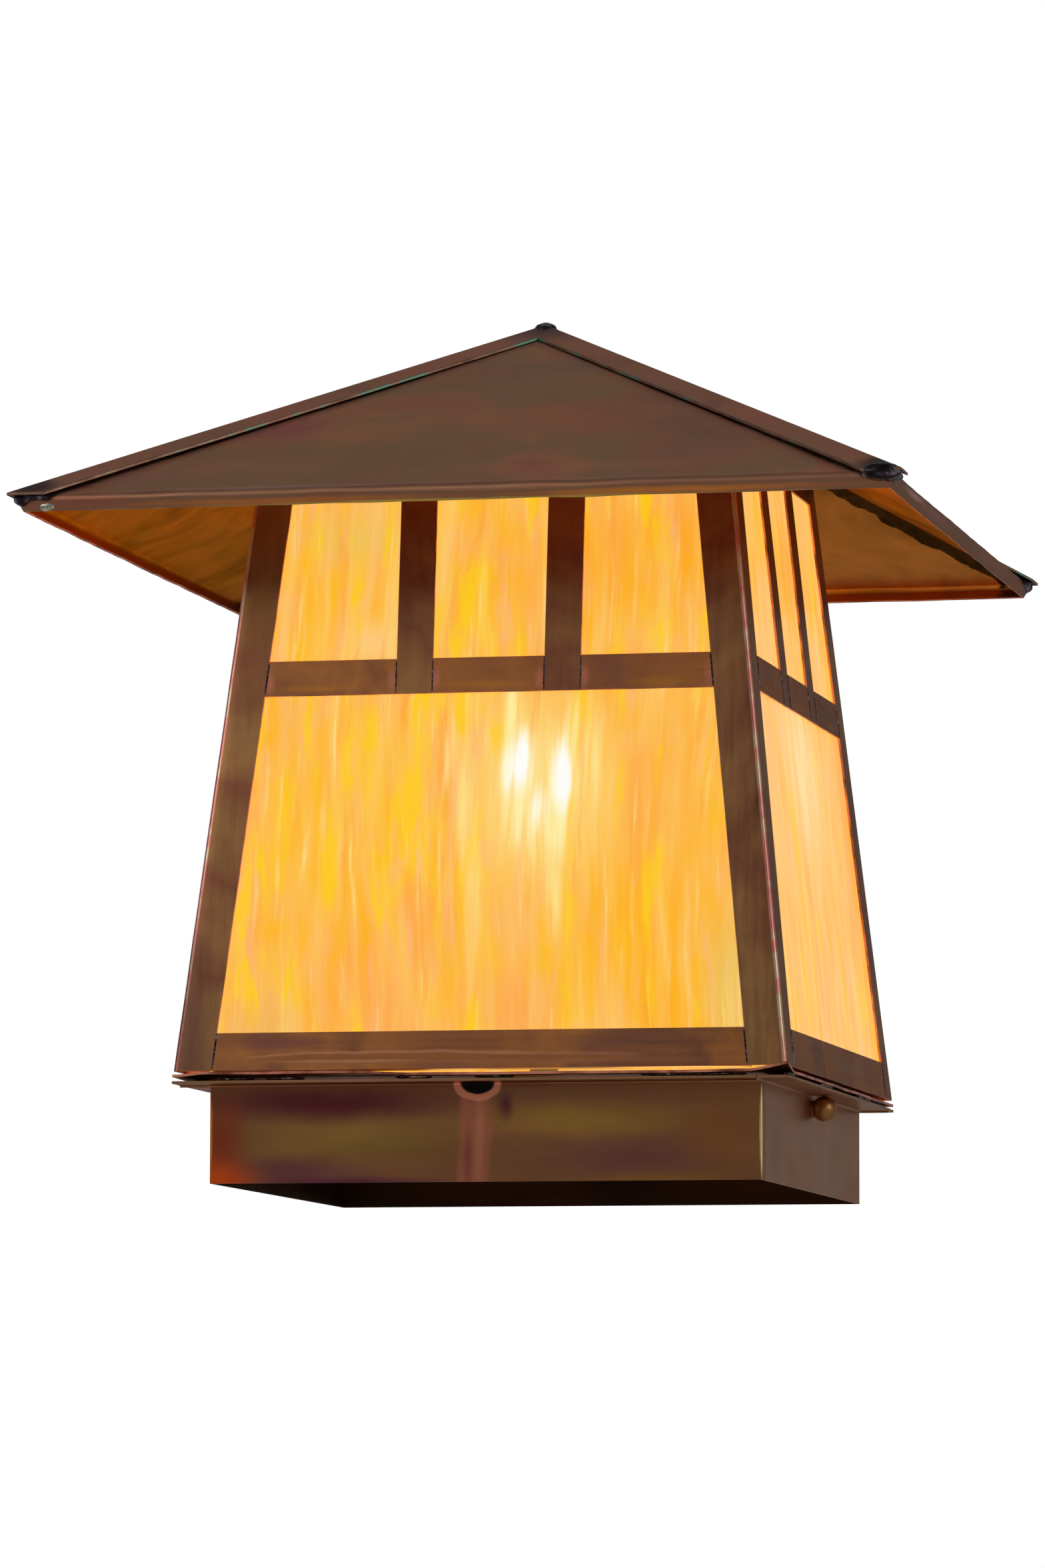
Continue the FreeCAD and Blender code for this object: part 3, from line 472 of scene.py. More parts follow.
# %% [markdown]
# ## Copper, darkened with heat
# The sheet is copper coloured by flame and sulphur: a thin, dark oxide film over bright metal.
# It still mirrors, but dimly and in brown, and where the film is thinner or thicker it turns
# olive, maroon or violet. So the metal is fully metallic, its colour comes from broad noise
# 45 to 90 mm across, or smaller on the base plate, and fine noise, drawn out along the rolling
# direction on most sheets, roughens the mirror.
# Where the sheet was cut or folded after colouring, the pink of bare copper shows, and along the corner
# angles' folds a painted highlight adds to it.

# %% Copper materials
STUDIO = 0.24                                 # mean light that an upright wall mirrors in this studio
EVERY_SIDE = (0, 90, 180, 270)
SEAM_FADE, SEAM_REACH = 0.35, 30.0            # soft border of a seam's colour, and the widest seam
STIR_SIZE = 16.0                              # size of the noise that stirs the marks' outlines


def seen(code, light=STUDIO):
    """Reflectance of a metal that looks like the hex colour while it mirrors light of this level."""
    return (*(min(1.0, channel / light) for channel in linear(code)[:3]), 1.0)


def graded(positions, codes, light=STUDIO):
    """Colour stops of seen colours at these positions."""
    return [(position, seen(code, light)) for position, code in zip(positions, codes)]


def even(items):
    """As many positions from 0 to 1, equally far apart, as there are items."""
    return [number / (len(items) - 1) for number in range(len(items))]


def around(marks, angles=EVERY_SIDE):
    """The same marks of (centre, radii, ...) turned to other sides: radii along x and y change places."""
    copies = []
    for angle in angles:
        for centre, radii, *rest in marks:
            spun = turned(np.array(centre, float), angle)
            sized = radii if angle % 180 == 0 else (radii[1], radii[0], radii[2])
            copies.append((spun.tolist(), sized, *rest))
    return copies


def face_marks(y, deep, rows):
    """Marks on the face at y from rows of (x, z, half width, half height, colour, amount, softness)."""
    return [((x, y, z), (wide, deep, high), *rest) for x, z, wide, high, *rest in rows]


def spot(tree, place, centre, radii, soft):
    """Mask of an ellipsoid in mm: 1 inside, fading to 0 over the outer share soft of its radius."""
    offset = add_node(tree, "ShaderNodeMapping", {
        "Vector": place, "Location": tuple(c * MM for c in centre), "Scale": tuple(r * MM for r in radii)},
        vector_type="TEXTURE").outputs[0]
    distance = vector(tree, "LENGTH", offset, output="Value")
    return remap(tree, distance, 1.0, 1.0 - soft, interpolation_type="SMOOTHSTEP")


def off_axis(tree, place):
    """|x| and |y| of a place."""
    parts = add_node(tree, "ShaderNodeSeparateXYZ", {"Vector": place})
    return [calc(tree, "ABSOLUTE", parts.outputs[axis]) for axis in "XY"]


def painted(tree, colour, mask, amount, code, light=STUDIO):
    """Colour with a seen colour laid over it where the mask is."""
    share = calc(tree, "MULTIPLY", mask, amount)
    over = code if isinstance(code, bpy.types.NodeSocket) else seen(code, light)
    return laid_over(tree, share, colour, over)


def patinated_copper(name, colours, grain, seed, mottle=55.0, depth=0.16, gloss=(0.30, 0.46), light=STUDIO,
                     marks=(), seams=(), glow=(), wobble=5.0, inner_shade=None, ragged=0.0, grazing="#f6e6de"):
    """Heat-coloured copper.

    colours lie along broad noise mottle mm across. grain is the fine noise's wavelength in mm per axis. It
    darkens and lightens by depth, and roughens between the two values of gloss. light is the level that the
    colours are judged at, and grazing tints the mirror at a glancing angle.
    marks are (centre, radii, colour, amount, softness), their outlines stirred by up to wobble mm. seams are
    (from, to, two colours, amount) in mm beside the hips, where |x| equals |y|, and wander by ragged mm.
    glow is painted light that the copper itself emits where light leaks out of the lantern: (centre, radii,
    strength, softness). inner_shade is (half width, colour) of painted shade over what lies nearer to the
    upright axis than that.
    """
    material, tree, shader = new_material(name)
    place = object_place(tree)
    shifted = moved(tree, place, Location=(seed * 0.37, seed * 0.61, seed * 0.23))
    broad = noise(tree, shifted, 1.0 / (mottle * MM), 4.0, Distortion=0.6)
    colour = ramp(tree, remap(tree, broad, 0.3, 0.7), graded(even(colours), colours, light))
    stretched = moved(tree, shifted, Scale=tuple(1.0 / (g * MM) for g in grain))
    fine = noise(tree, stretched, 1.0, 5.0, Roughness=0.6)

    def reach(radii):
        """How far in mm a mark's outline is stirred: never by more than most of its smallest radius."""
        return round(min(wobble, 0.8 * min(radii)), 1)

    if marks or glow:
        stir = noise(tree, shifted, 1.0 / (STIR_SIZE * MM), 5.0, output="Color")
        stir = vector(tree, "SUBTRACT", stir, (0.5, 0.5, 0.5))
        stirred = {}
        for _, radii, *_ in (*marks, *glow):
            if reach(radii) not in stirred:
                stirred[reach(radii)] = vector(tree, "MULTIPLY_ADD", stir, (reach(radii) * MM,) * 3, place)
    if seams:
        beside = calc(tree, "ABSOLUTE", calc(tree, "SUBTRACT", *off_axis(tree, place)))
        patches = noise(tree, shifted, 1.0 / (9.0 * MM), 3.0)
    for start, end, codes, amount in seams:
        stops = [((start - SEAM_FADE) / SEAM_REACH, 0.0), (start / SEAM_REACH, 1.0),
                 (end / SEAM_REACH, 1.0), ((end + SEAM_FADE) / SEAM_REACH, 0.0)]
        bent = calc(tree, "MULTIPLY_ADD", patches, ragged * MM, beside)
        where = calc(tree, "MULTIPLY", bent, 1.0 / (SEAM_REACH * MM))
        mask = ramp(tree, where, stops if start > 0 else stops[2:])
        seam_colour = ramp(tree, patches, graded((0.44, 0.60), codes, light))
        colour = painted(tree, colour, mask, amount, seam_colour)
    for centre, radii, code, amount, soft in marks:
        mask = spot(tree, stirred[reach(radii)], centre, radii, soft)
        colour = painted(tree, colour, mask, amount, code, light)
    # Painted shade: everything nearer the upright axis than the half width takes the near-black colour.
    if inner_shade:
        outward = calc(tree, "MAXIMUM", *off_axis(tree, place))
        inside = calc(tree, "LESS_THAN", outward, inner_shade[0] * MM)
        colour = painted(tree, colour, inside, 1.0, inner_shade[1])
    shade = remap(tree, fine, 0.3, 0.7, 1.0 - depth, 1.0 + depth)
    colour = vector(tree, "MULTIPLY", colour, shade)
    rough = remap(tree, fine, 0.3, 0.7, *gloss)
    bump = bumped(tree, fine, 0.06, 0.5, Normal=bumped(tree, broad, 1.2, 0.35))
    fill(tree, shader, {"Base Color": colour, "Metallic": 1.0, "Roughness": rough, "Normal": bump,
                        "Specular Tint": linear(grazing)})
    # Painted light: the copper emits warm light inside the glow's spots.
    if glow:
        lit_mask = None
        for centre, radii, strength, soft in glow:
            mask = calc(tree, "MULTIPLY", spot(tree, stirred[reach(radii)], centre, radii, soft), strength)
            lit_mask = calc(tree, "MAXIMUM", mask, lit_mask) if lit_mask else mask
        warm = laid_over(tree, lit_mask, (0.0, 0.0, 0.0, 1.0), linear("#ffc46a"))
        fill(tree, shader, {"Emission Color": warm, "Emission Strength": 1.0})
    return material


def roof_z(y):
    """Height of the front roof panel at y."""
    return PEAK_Z + SLOPE * y


EDGE_BESIDE = math.sqrt(2) * CAP_REACH        # a cap's edges lie where |x| and |y| differ by this
FASCIA_Y = -153.0
FASCIA_MID = (EAVE_Z + FASCIA_Z) / 2
slope_marks = [((x, y, roof_z(y)), radii, code, amount, 1.0) for x, y, radii, code, amount in (
    (25, -94, (46, 30, 20), "#744836", 0.6), (-62, -118, (50, 22, 16), "#5b4633", 0.6),
    (-118, -136, (30, 16, 14), "#6a4440", 0.5), (8, -40, (40, 24, 20), "#5c463c", 0.6),
    (96, -132, (44, 16, 14), "#664838", 0.6), (30, -140, (90, 9, 8), "#764c3a", 0.45))]
# pale violet smear along the eave fold, with a painted highlight where the fold catches the light
fold_smear_and_highlight = [((x, -151.0, roof_z(-151.0)), radii, code, amount, 1.0) for x, radii, code, amount in (
    (-60, (88, 1.9, 2.6), "#7a5f60", 0.34), (52, (100, 1.7, 2.4), "#745652", 0.3))]
fascia_base = face_marks(FASCIA_Y, 3.0, [(0, FASCIA_MID, 600, 4.6, "#543a2b", 1.0, 0.2)])
# orange on the front fascia's lower part and along its lower edge is painted glow of the amber glass; the
# brown patch near the fold is patina
fascia_front_patina_and_glow = face_marks(FASCIA_Y, 3, [
    (-60, EAVE_Z - 3.8, 90, 1.7, "#80491c", 0.85, 0.9), (76, EAVE_Z - 3.8, 90, 1.9, "#8a511c", 0.9, 0.9),
    (20, EAVE_Z - 1.4, 60, 1.2, "#74523c", 0.5, 0.9), (0, FASCIA_Z, 152, 1.1, "#b8742c", 0.9, 0.6)])
fascia_sides = face_marks(FASCIA_Y, 3, [
    (-60, EAVE_Z - 2.6, 50, 2.6, "#664440", 0.7, 0.9), (-108, EAVE_Z - 1.8, 28, 1.7, "#8c7470", 0.6, 0.9),
    (70, EAVE_Z - 2.6, 60, 2.4, "#643f36", 0.6, 0.9)])
roof_copper = patinated_copper(
    "roof_copper", ["#5d4236", "#664634", "#604a36", "#6e4b36", "#683f38"], (40.0, 40.0, 14.0), 1,
    mottle=80.0, depth=0.05, gloss=(0.36, 0.5), wobble=26.0, light=0.25,
    marks=[*slope_marks, *around(fascia_base), *fold_smear_and_highlight,
           ((-128, FASCIA_Y, EAVE_Z - 2.4), (26, 4, 3.6), "#5c3028", 0.5, 0.9), *fascia_front_patina_and_glow,
           *around(fascia_sides, EVERY_SIDE[1:]),
           # near-black eave corners: blackened by heat and flux, and deepened as painted shade under each
           # cap's end
           *around([((151.5, -151.5, EAVE_Z - 0.6), (6.5, 6.5, 3.6), "#1a1418", 0.95, 0.7)]),
           ((0, 0, PEAK_Z), (38, 38, 16), "#2c2a30", 0.95, 1.0)],
    seams=[(EDGE_BESIDE - 1.0, EDGE_BESIDE - 0.25, ("#241a14", "#33503f"), 0.95),
           (EDGE_BESIDE + 0.2, EDGE_BESIDE + 6.0, ("#5a3c36", "#69423a"), 0.35)])
# The underside's saturated orange is painted glow: bare warm copper made to stand in for the amber glass's
# light. The dark band on the inner fascia is painted shade, and the near-black band along the inside of the
# hips is patina and painted shade in the crease.
glowing_underside = patinated_copper(
    "copper_underside_and_glow", ["#5a3618", "#6c441e", "#764a22", "#64401e", "#724a28"], (30.0, 30.0, 40.0), 7,
    mottle=46.0, depth=0.06, gloss=(0.36, 0.48), light=0.22, ragged=9.0, grazing="#ecc08c",
    marks=around(face_marks(-152, 4, [(0, FASCIA_MID - 0.4, 600, 3.4, "#4c3014", 0.85, 0.5)])),
    seams=[(0.0, 12.0, ("#0c0906", "#1c140b"), 0.94)])
cap_copper = patinated_copper(
    "hip_cap_copper", ["#5c3e34", "#664636", "#6c4638", "#5a423a"], (30.0, 30.0, 30.0), 2, depth=0.05,
    gloss=(0.34, 0.48), light=0.25,
    marks=[*around([((150, -150, EAVE_Z + 3.0), (14, 14, 6.5), "#1c161a", 0.9, 0.6)]),
           ((0, 0, PEAK_Z), (36, 36, 16), "#26242c", 0.95, 1.0)],
    seams=[(EDGE_BESIDE - 0.5, EDGE_BESIDE + 2.0, ("#3a2c24", "#3c5846"), 0.8)])
upright_copper = patinated_copper(
    "upright_copper", ["#4c3022", "#5a4026", "#4c2e20", "#5c4228", "#563626"], (2.5, 2.5, 70.0), 3,
    mottle=90.0, depth=0.08, light=0.26,
    marks=[((-104, -108, BODY_BOTTOM + 16), (14, 14, 70), "#3a2420", 0.75, 1.0)],
    # pink along the corner angles' folds: partly worn bare copper, partly a painted highlight
    seams=[(0.0, 1.3, ("#9a5450", "#c07a66"), 0.75)])
MID_Z = (MID_LOW + MID_HIGH) / 2
MID_HALF = BODY_HALF - LEAN * (MID_Z - BODY_BOTTOM)
heat_marks = face_marks(-MID_HALF, 5, [
    (side * x, MID_Z - 1.5, 2.6, 6.5, "#8a5444", 0.7, 0.9)
    for side in (-1, 1) for x in (MULLION_OUT + 1.3, MULLION_IN - 1.3, MID_HALF - LEG - 1.0)])
mid_marks = face_marks(-MID_HALF, 5, [(x, MID_Z - 3.6, 18, 1.8, "#84551f", 0.5, 0.8) for x in (-62, 0, 62)])
rail_copper = patinated_copper(
    "rail_copper", ["#64402e", "#6e4428", "#784c2a", "#5e3c2a", "#6c442e"], (60.0, 60.0, 3.0), 4,
    mottle=60.0, depth=0.07, light=0.40, gloss=(0.34, 0.48),
    marks=[*around(heat_marks), *around(mid_marks),
           *face_marks(-108, 5, [(x, BODY_BOTTOM + up, *rest) for x, up, *rest in (
               (-30, 4.4, 56, 2.6, "#8a5c42", 0.7, 0.16), (22, 3.8, 40, 2.2, "#865a40", 0.5, 0.3),
               (-34, 3.9, 54, 2.1, "#6c4428", 0.95, 0.2), (20, 3.2, 38, 1.8, "#6c4428", 0.95, 0.4),
               (-46, 3.0, 34, 0.9, "#8c6044", 0.7, 0.7), (30, 2.2, 70, 1.6, "#7a4e34", 0.6, 0.8),
               (-70, 9.5, 30, 3.4, "#5c3836", 0.6, 0.8), (60, 9.0, 40, 3.6, "#5a3a30", 0.5, 0.8))])],
    # painted light: the bottom lip's copper emits a warm line where light leaks out under the body
    glow=face_marks(-102.5, 5.0, [(x, BODY_BOTTOM, wide, 0.5, *rest) for x, wide, *rest in (
        (-7.0, 18, 0.75, 0.6), (70.0, 36, 1.0, 0.5), (25.0, 62, 0.4, 0.6))]))
WALL = -SLEEVE_OUT
sleeve_copper = patinated_copper(
    "sleeve_copper", ["#5c4230", "#604630", "#664a36", "#5c4636"], (50.0, 50.0, 12.0), 5, depth=0.04,
    # painted shade: the sleeve's inner faces are painted near black
    gloss=(0.28, 0.4), wobble=7.0, light=0.27, inner_shade=(SLEEVE_OUT - SHEET / 2, "#160d08"),
    marks=[((0, WALL, 18.0), (140, 8, 60.0), "#563824", 1.0, 0.1),
           *face_marks(WALL, 5, [
               (-46, 15.0, 58, 13.0, "#604822", 1.0, 1.0), (-56, 27.5, 66, 9.0, "#3e1a1c", 1.0, 0.9),
               (-66, 3.0, 34, 9.0, "#4a2a2c", 0.9, 1.0), (-93, 14.0, 13, 26.0, "#5a2214", 0.9, 1.0),
               (-96, 0.0, 24, 12.0, "#8c3410", 1.0, 1.0), (-46, 0.0, 44, 3.4, "#421c28", 0.9, 0.9),
               (34, 21.0, 60, 9.0, "#644a20", 0.95, 1.0), (52, 8.0, 42, 10.0, "#52302a", 0.95, 1.0),
               (84, 18.0, 24, 24.0, "#58381e", 0.8, 1.0), (60, 0.0, 40, 4.0, "#63421c", 0.8, 1.0),
               (0, 36.0, 110, 5.0, "#482214", 0.9, 1.0), (-3.2, 12.0, 7.0, 60.0, "#6c3e2e", 0.85, 0.35),
               (-1.6, 14.0, 2.6, 26.0, "#7c4c38", 0.7, 0.9), (-5.6, 8.0, 2.2, 16.0, "#5a2c24", 0.7, 0.9),
               (7.5, 26.0, 4.4, 8.0, "#3a1820", 0.9, 1.0), (-2.6, 33.8, 9.2, 6.8, "#8e5640", 0.95, 0.12),
               (-2.6, 34.6, 6.9, 5.2, "#0c0a09", 1.0, 0.16)]),
           *around(face_marks(WALL, 5, [
               (-40, 25, 56, 9, "#4a2622", 0.75, 1.0), (30, 14, 62, 9, "#5e4a24", 0.75, 1.0),
               (70, 3, 34, 6, "#6a3a20", 0.6, 1.0)]), (180, 270)),
           # painted highlights down the sleeve's two front corners: an orange glow on the left, a gold-pink
           # sheen on the right
           ((-SLEEVE_OUT, WALL, 17), (1.1, 1.1, 19), "#c04a14", 1.0, 0.3),
           ((SLEEVE_OUT, WALL, 17), (1.2, 1.2, 19), "#b87850", 1.0, 0.4)])
plate_copper = patinated_copper(
    "plate_copper", ["#5a3a2e", "#4f3428", "#66422f"], (8.0, 8.0, 8.0), 6, mottle=26.0,
    # painted light: the plate's top emits a warm band under the front of the body, where light leaks out
    glow=[((15.0, -104.0, PLATE_TOP), (80, 5.0, 0.6), 0.3, 0.6)])


def cut_edge(name, codes):
    """Copper on a cut or folded edge, its colours in patches about 11 mm across."""
    material, tree, shader = new_material(name)
    blots = noise(tree, object_place(tree), 90.0, 4.0)
    colour = ramp(tree, blots, graded((0.35, 0.56, 0.63), codes, 0.34))
    fill(tree, shader, {"Base Color": colour, "Metallic": 1.0, "Roughness": 0.38})
    return material


edge_copper = cut_edge("cut_copper_edge", ("#5a3226", "#9a5f4c", "#a06650"))
dark_edge = cut_edge("patinated_copper_edge", ("#4a342a", "#644a3c", "#43604e"))

# %% [markdown]
# ## Solder
# Tin solder ran into every seam and was then darkened with the copper. It is nearly black with
# small bright beads where the surface is still smooth.

# %% Solder materials
def tin_solder(name, codes):
    """Lumpy solder whose colours lie along noise about 4 mm across."""
    material, tree, shader = new_material(name)
    blots = noise(tree, object_place(tree), 260.0, 4.0)
    bump = bumped(tree, blots, 0.12, 0.5)
    colour = ramp(tree, blots, graded((0.36, 0.55, 0.72), codes))
    fill(tree, shader, {"Base Color": colour, "Metallic": 1.0, "Roughness": 0.26, "Normal": bump})
    return material


solder = tin_solder("darkened_tin_solder", ("#17120f", "#2a2422", "#6e6860"))
black_solder = tin_solder("blackened_solder", ("#0e0b0d", "#1d181d", "#57505c"))
grey_solder = tin_solder("bare_tin_solder", ("#4c4a42", "#74756a", "#94958a"))

# %% [markdown]
# ## Streaky amber glass
# Opalescent art glass is rolled from two melts, so it has upright wisps of honey, yellow and
# peach in milky cream. It scatters the bulb's light instead of letting it through, and a lit
# pane glows from edge to edge. The glow is the pane's own emission: broad wisps and fine
# threads of noise, stretched upright, pick the colour, and a soft hill where the bulb stands
# behind the pane lifts it towards cream.

# %% Glass material
def streaky_glass(name, angle, seed, tones, patches, hot_spots, streak=0.55):
    """Lit amber glass of one pane, its pattern turned to the pane.

    tones lie along broad noise. patches and hot_spots are (across, up, half width, half height, colour,
    amount) in mm on the pane, and threads break up the hot spots. streak is how much the fine wisps show.
    """
    material, tree, shader = new_material(name)
    place = object_place(tree)
    local = moved(tree, place, Rotation=(0, 0, -math.radians(angle)))
    parts = add_node(tree, "ShaderNodeSeparateXYZ", {"Vector": local})
    across, up = parts.outputs["X"], parts.outputs["Z"]
    slice_place = seed * 1.7
    drift_place = moved(tree, joined(tree, across, slice_place, up), Scale=(13.0, 1.0, 7.0))
    drift = remap(tree, noise(tree, drift_place, 1.0, 3.0), to_low=-9.0 * MM, to_high=9.0 * MM)
    bent = calc(tree, "ADD", across, drift)
    flow = joined(tree, bent, slice_place, up)
    pane = joined(tree, bent, 0.0, up)

    def wisps(width, length, detail, low, high):
        """Noise whose blots are width x length mm, stretched from low and high to 0 and 1."""
        scaled = moved(tree, flow, Scale=(1.0 / (width * MM), 1.0, 1.0 / (length * MM)))
        return remap(tree, noise(tree, scaled, 1.0, detail, Roughness=0.55), low, high)

    def on_pane(x, z, wide, high):
        """Mask of a soft ellipse on the pane."""
        return spot(tree, pane, (x, 0, z), (wide, 1.0 / MM, high), 1.0)

    tint = ramp(tree, wisps(42.0, 85.0, 3.0, 0.3, 0.7), list(zip(even(tones), tones)))
    for *shape, code, amount in patches:
        tint = laid_over(tree, calc(tree, "MULTIPLY", on_pane(*shape), amount), tint, linear(code))
    fine = wisps(5.5, 70.0, 4.0, 0.3, 0.7)
    for streaks, code, amount in (
            (fine, "#ffd67c", streak), (wisps(5.0, 46.0, 6.0, 0.50, 0.68), "#fc9c30", 0.9 * streak),
            (wisps(9.0, 40.0, 6.0, 0.48, 0.64), "#ffcc14", 1.6 * streak),
            (wisps(4.0, 30.0, 6.0, 0.52, 0.68), "#ffb478", streak),
            (wisps(2.2, 40.0, 5.0, 0.52, 0.74), "#ffe694", 1.2 * streak)):
        share = calc(tree, "MULTIPLY", streaks, amount, use_clamp=True)
        share = calc(tree, "MULTIPLY", share, streaks, use_clamp=True)
        tint = laid_over(tree, share, tint, linear(code))
    threads = wisps(2.6, 44.0, 4.0, 0.34, 0.66)
    for *shape, code, amount in hot_spots:
        mask = on_pane(*shape)
        streaked = calc(tree, "MULTIPLY_ADD", threads, 1.2, 0.2)
        share = calc(tree, "MULTIPLY", calc(tree, "MULTIPLY", mask, amount), streaked, use_clamp=True)
        tint = laid_over(tree, share, tint, linear(code))
    bump = bumped(tree, fine, 0.4, 0.3)
    fill(tree, shader, {"Base Color": linear("#2c1a0a"), "Roughness": 0.22, "Specular IOR Level": 0.3,
                        "Emission Color": tint, "Emission Strength": 0.97, "Normal": bump})
    return material


BULB_HEIGHT = 149.4                           # of the filament
AMBER = ["#ffaa48", "#ffb84e", "#ffb410", "#ffb65c", "#ffbc1a", "#ffaa3e"]
GOLDEN = ["#fdb86c", "#ffbe68", "#fdb648", "#ffc074", "#fdc060"]
front_patches = [
    (-50, 226, 30, 14, "#ecc058", 0.8), (-26, 205, 20, 22, "#ffcc3a", 0.6),
    (28, 215, 40, 30, "#ffa91e", 0.8), (62, 222, 28, 34, "#ffa824", 0.9),
    (0, 220, 26, 26, "#ffb444", 0.5), (-40, 188, 20, 14, "#ffd28c", 0.7),
    (-62, 120, 34, 46, "#ffbc20", 0.9), (-36, 140, 20, 34, "#ffc83a", 0.7),
    (-90, 130, 14, 50, "#ffb06a", 0.7), (0, 150, 44, 40, "#ffc86c", 0.7),
    (22, 132, 46, 56, "#ffd468", 0.85), (-35, 60, 36, 34, "#ffa648", 0.8),
    (58, 86, 46, 48, "#ffb20a", 1.0), (90, 66, 18, 40, "#e8c258", 0.85),
    (-78, 52, 22, 24, "#ecb060", 0.6), (-88, 92, 16, 46, "#ffae66", 0.7),
    (10, 60, 26, 22, "#ffa648", 0.8), (70, 138, 26, 46, "#ffb432", 0.7)]
# painted highlights: glints of the bulb shining through the front pane, fixed on the pane
front_hot = [
    (22.0, 134.0, 30.0, 42.0, "#ffea9c", 0.7), (13.0, 142.0, 8.0, 22.0, "#fff2b0", 1.6),
    (28.0, 138.0, 7.0, 24.0, "#fff2b0", 1.6), (12.5, 144.0, 6.4, 17.0, "#fffce0", 2.4),
    (28.2, 139.0, 5.6, 18.0, "#fffce0", 2.6), (13.0, 145.0, 3.6, 11.0, "#fffffa", 3.0),
    (28.2, 140.0, 3.2, 12.0, "#fffffa", 3.4), (20.5, 128.0, 5.0, 12.0, "#fffce0", 1.4),
    (13.5, 126.0, 6.0, 17.0, "#fff0a8", 1.3),
    (24.0, 120.0, 9.0, 16.0, "#fff0a8", 1.1), (31.0, 156.0, 4.0, 18.0, "#fff0a8", 0.9),
    (10.0, 162.0, 5.0, 22.0, "#ffee9c", 0.9), (26.0, 96.0, 4.5, 24.0, "#ffec98", 0.8),
    (40.0, 148.0, 6.0, 24.0, "#ffec98", 0.7), (-4.0, 130.0, 5.0, 30.0, "#ffe690", 0.6),
    (0.0, 98.0, 5.0, 26.0, "#ffe690", 0.6)]
side_patches = [
    (20, 222, 60, 26, "#f3a83c", 0.8), (0, 150, 60, 40, "#ffcf80", 0.7), (30, 120, 16, 60, "#ffc05a", 0.5),
    (0, 70, 80, 34, "#f8b468", 0.7), (76, 120, 20, 110, "#f4a444", 0.8)]
side_hot = [(0.0, BULB_HEIGHT, 50.0, 46.0, "#fff4c4", 0.35)]
glass_materials = {
    "front": streaky_glass("amber_glass_front", 0, 1.0, AMBER, front_patches, front_hot),
    "right": streaky_glass("amber_glass_right", 90, 2.0, GOLDEN, side_patches, side_hot, 0.32),
    "back": streaky_glass("amber_glass_back", 180, 3.0, AMBER, [(0, 70, 90, 30, "#ffa848", 0.6)],
                          [(0.0, BULB_HEIGHT, 34.0, 40.0, "#fff0b0", 0.7),
                           (4.0, BULB_HEIGHT, 6.0, 16.0, "#fffef4", 2.2)]),
    "left": streaky_glass("amber_glass_left", 270, 4.0, AMBER, [(0, 60, 90, 30, "#ffac50", 0.6)],
                          [(0.0, BULB_HEIGHT, 34.0, 40.0, "#fff0b0", 0.6),
                          (-4.0, BULB_HEIGHT, 5.0, 16.0, "#fffef4", 1.8)]),
}

# %% [markdown]
# ## The leaning walls
# All four walls lean in by the same slope. A point on a wall is given by its x, its height and
# its depth behind the outer face, and the strips of the framing are bilinear patches of it.

# %% Wall pieces
def half_width(z):
    """Half width of the body's outside at a height."""
    return BODY_HALF - LEAN * (z - BODY_BOTTOM)


def wall_point(x, z, depth):
    """Points of the front wall at x, height z and a depth behind its outer face."""
    x, z, depth = np.broadcast_arrays(x, z, depth)
    return np.stack([x, -half_width(z) + depth, z], axis=-1)


def inner_leg(z):
    """x of the right corner angle's inner edge at a height."""
    return half_width(z) - LEG


def outer_leg(z):
    """x of the left corner angle's inner edge at a height."""
    return -inner_leg(z)


def plumb(x):
    """Edge of a strip that stands upright at x."""
    return lambda z: z * 0 + x


SWAY, STRIP_STEP = 0.06, 4.0                  # unevenness of a strip, and its grid's step
LIP_DEPTH = 9.0                               # how far the bottom rail's flange reaches inwards


def strip_part(z_low, z_high, left, right, angle, seed):
    """Flat strip of the wall between left(z) and right(z), very slightly uneven."""
    z_mid = (z_low + z_high) / 2
    columns = max(3, int((right(z_mid) - left(z_mid)) / STRIP_STEP) + 1)
    rows = max(3, int((z_high - z_low) / STRIP_STEP) + 1)
    u, z = np.meshgrid(np.linspace(0, 1, columns), np.linspace(z_low, z_high, rows))
    x = left(z) * (1 - u) + right(z) * u
    dent = SWAY * (1 + ripple(x, z, 38.0, seed)) / 2
    return sheet_part(wall_point(x, z, dent), wall_point(x, z, SHEET), angle)


edges = (outer_leg, *(plumb(x) for x in (-MULLION_OUT, -MULLION_IN, MULLION_IN, MULLION_OUT)), inner_leg)
for number, (side, angle) in enumerate(SIDE_ANGLES.items()):
    rail = strip_part(BODY_BOTTOM, RAIL_TOP, outer_leg, inner_leg, angle, 10 + number)
    lip_half = inner_leg(BODY_BOTTOM)
    x, depth = np.meshgrid(np.linspace(-1, 1, 30) * lip_half, np.linspace(SHEET, LIP_DEPTH, 3))
    lip = sheet_part(wall_point(x, BODY_BOTTOM, depth), wall_point(x, BODY_BOTTOM + SHEET, depth), angle)
    copper_sheet(f"bottom_rail_{side}", [rail, lip], rail_copper, edge_copper)
    spans = [strip_part(MID_LOW, MID_HIGH, low, high, angle, 20 + 4 * number + i)
             for i, (low, high) in enumerate(zip(edges[::2], edges[1::2]))]
    copper_sheet(f"mid_rail_{side}", spans, rail_copper, edge_copper)
    bars = [strip_part(MID_LOW, TOP_RAIL_LOW, low, high, angle, 40 + 4 * number + i)
            for i, (low, high) in enumerate(zip(edges[1::2], edges[2::2]))]
    copper_sheet(f"mullions_{side}", bars, upright_copper, edge_copper)

# %% Corner angles
CORNER_SWAY = 0.05                            # unevenness of an angle's outer skin


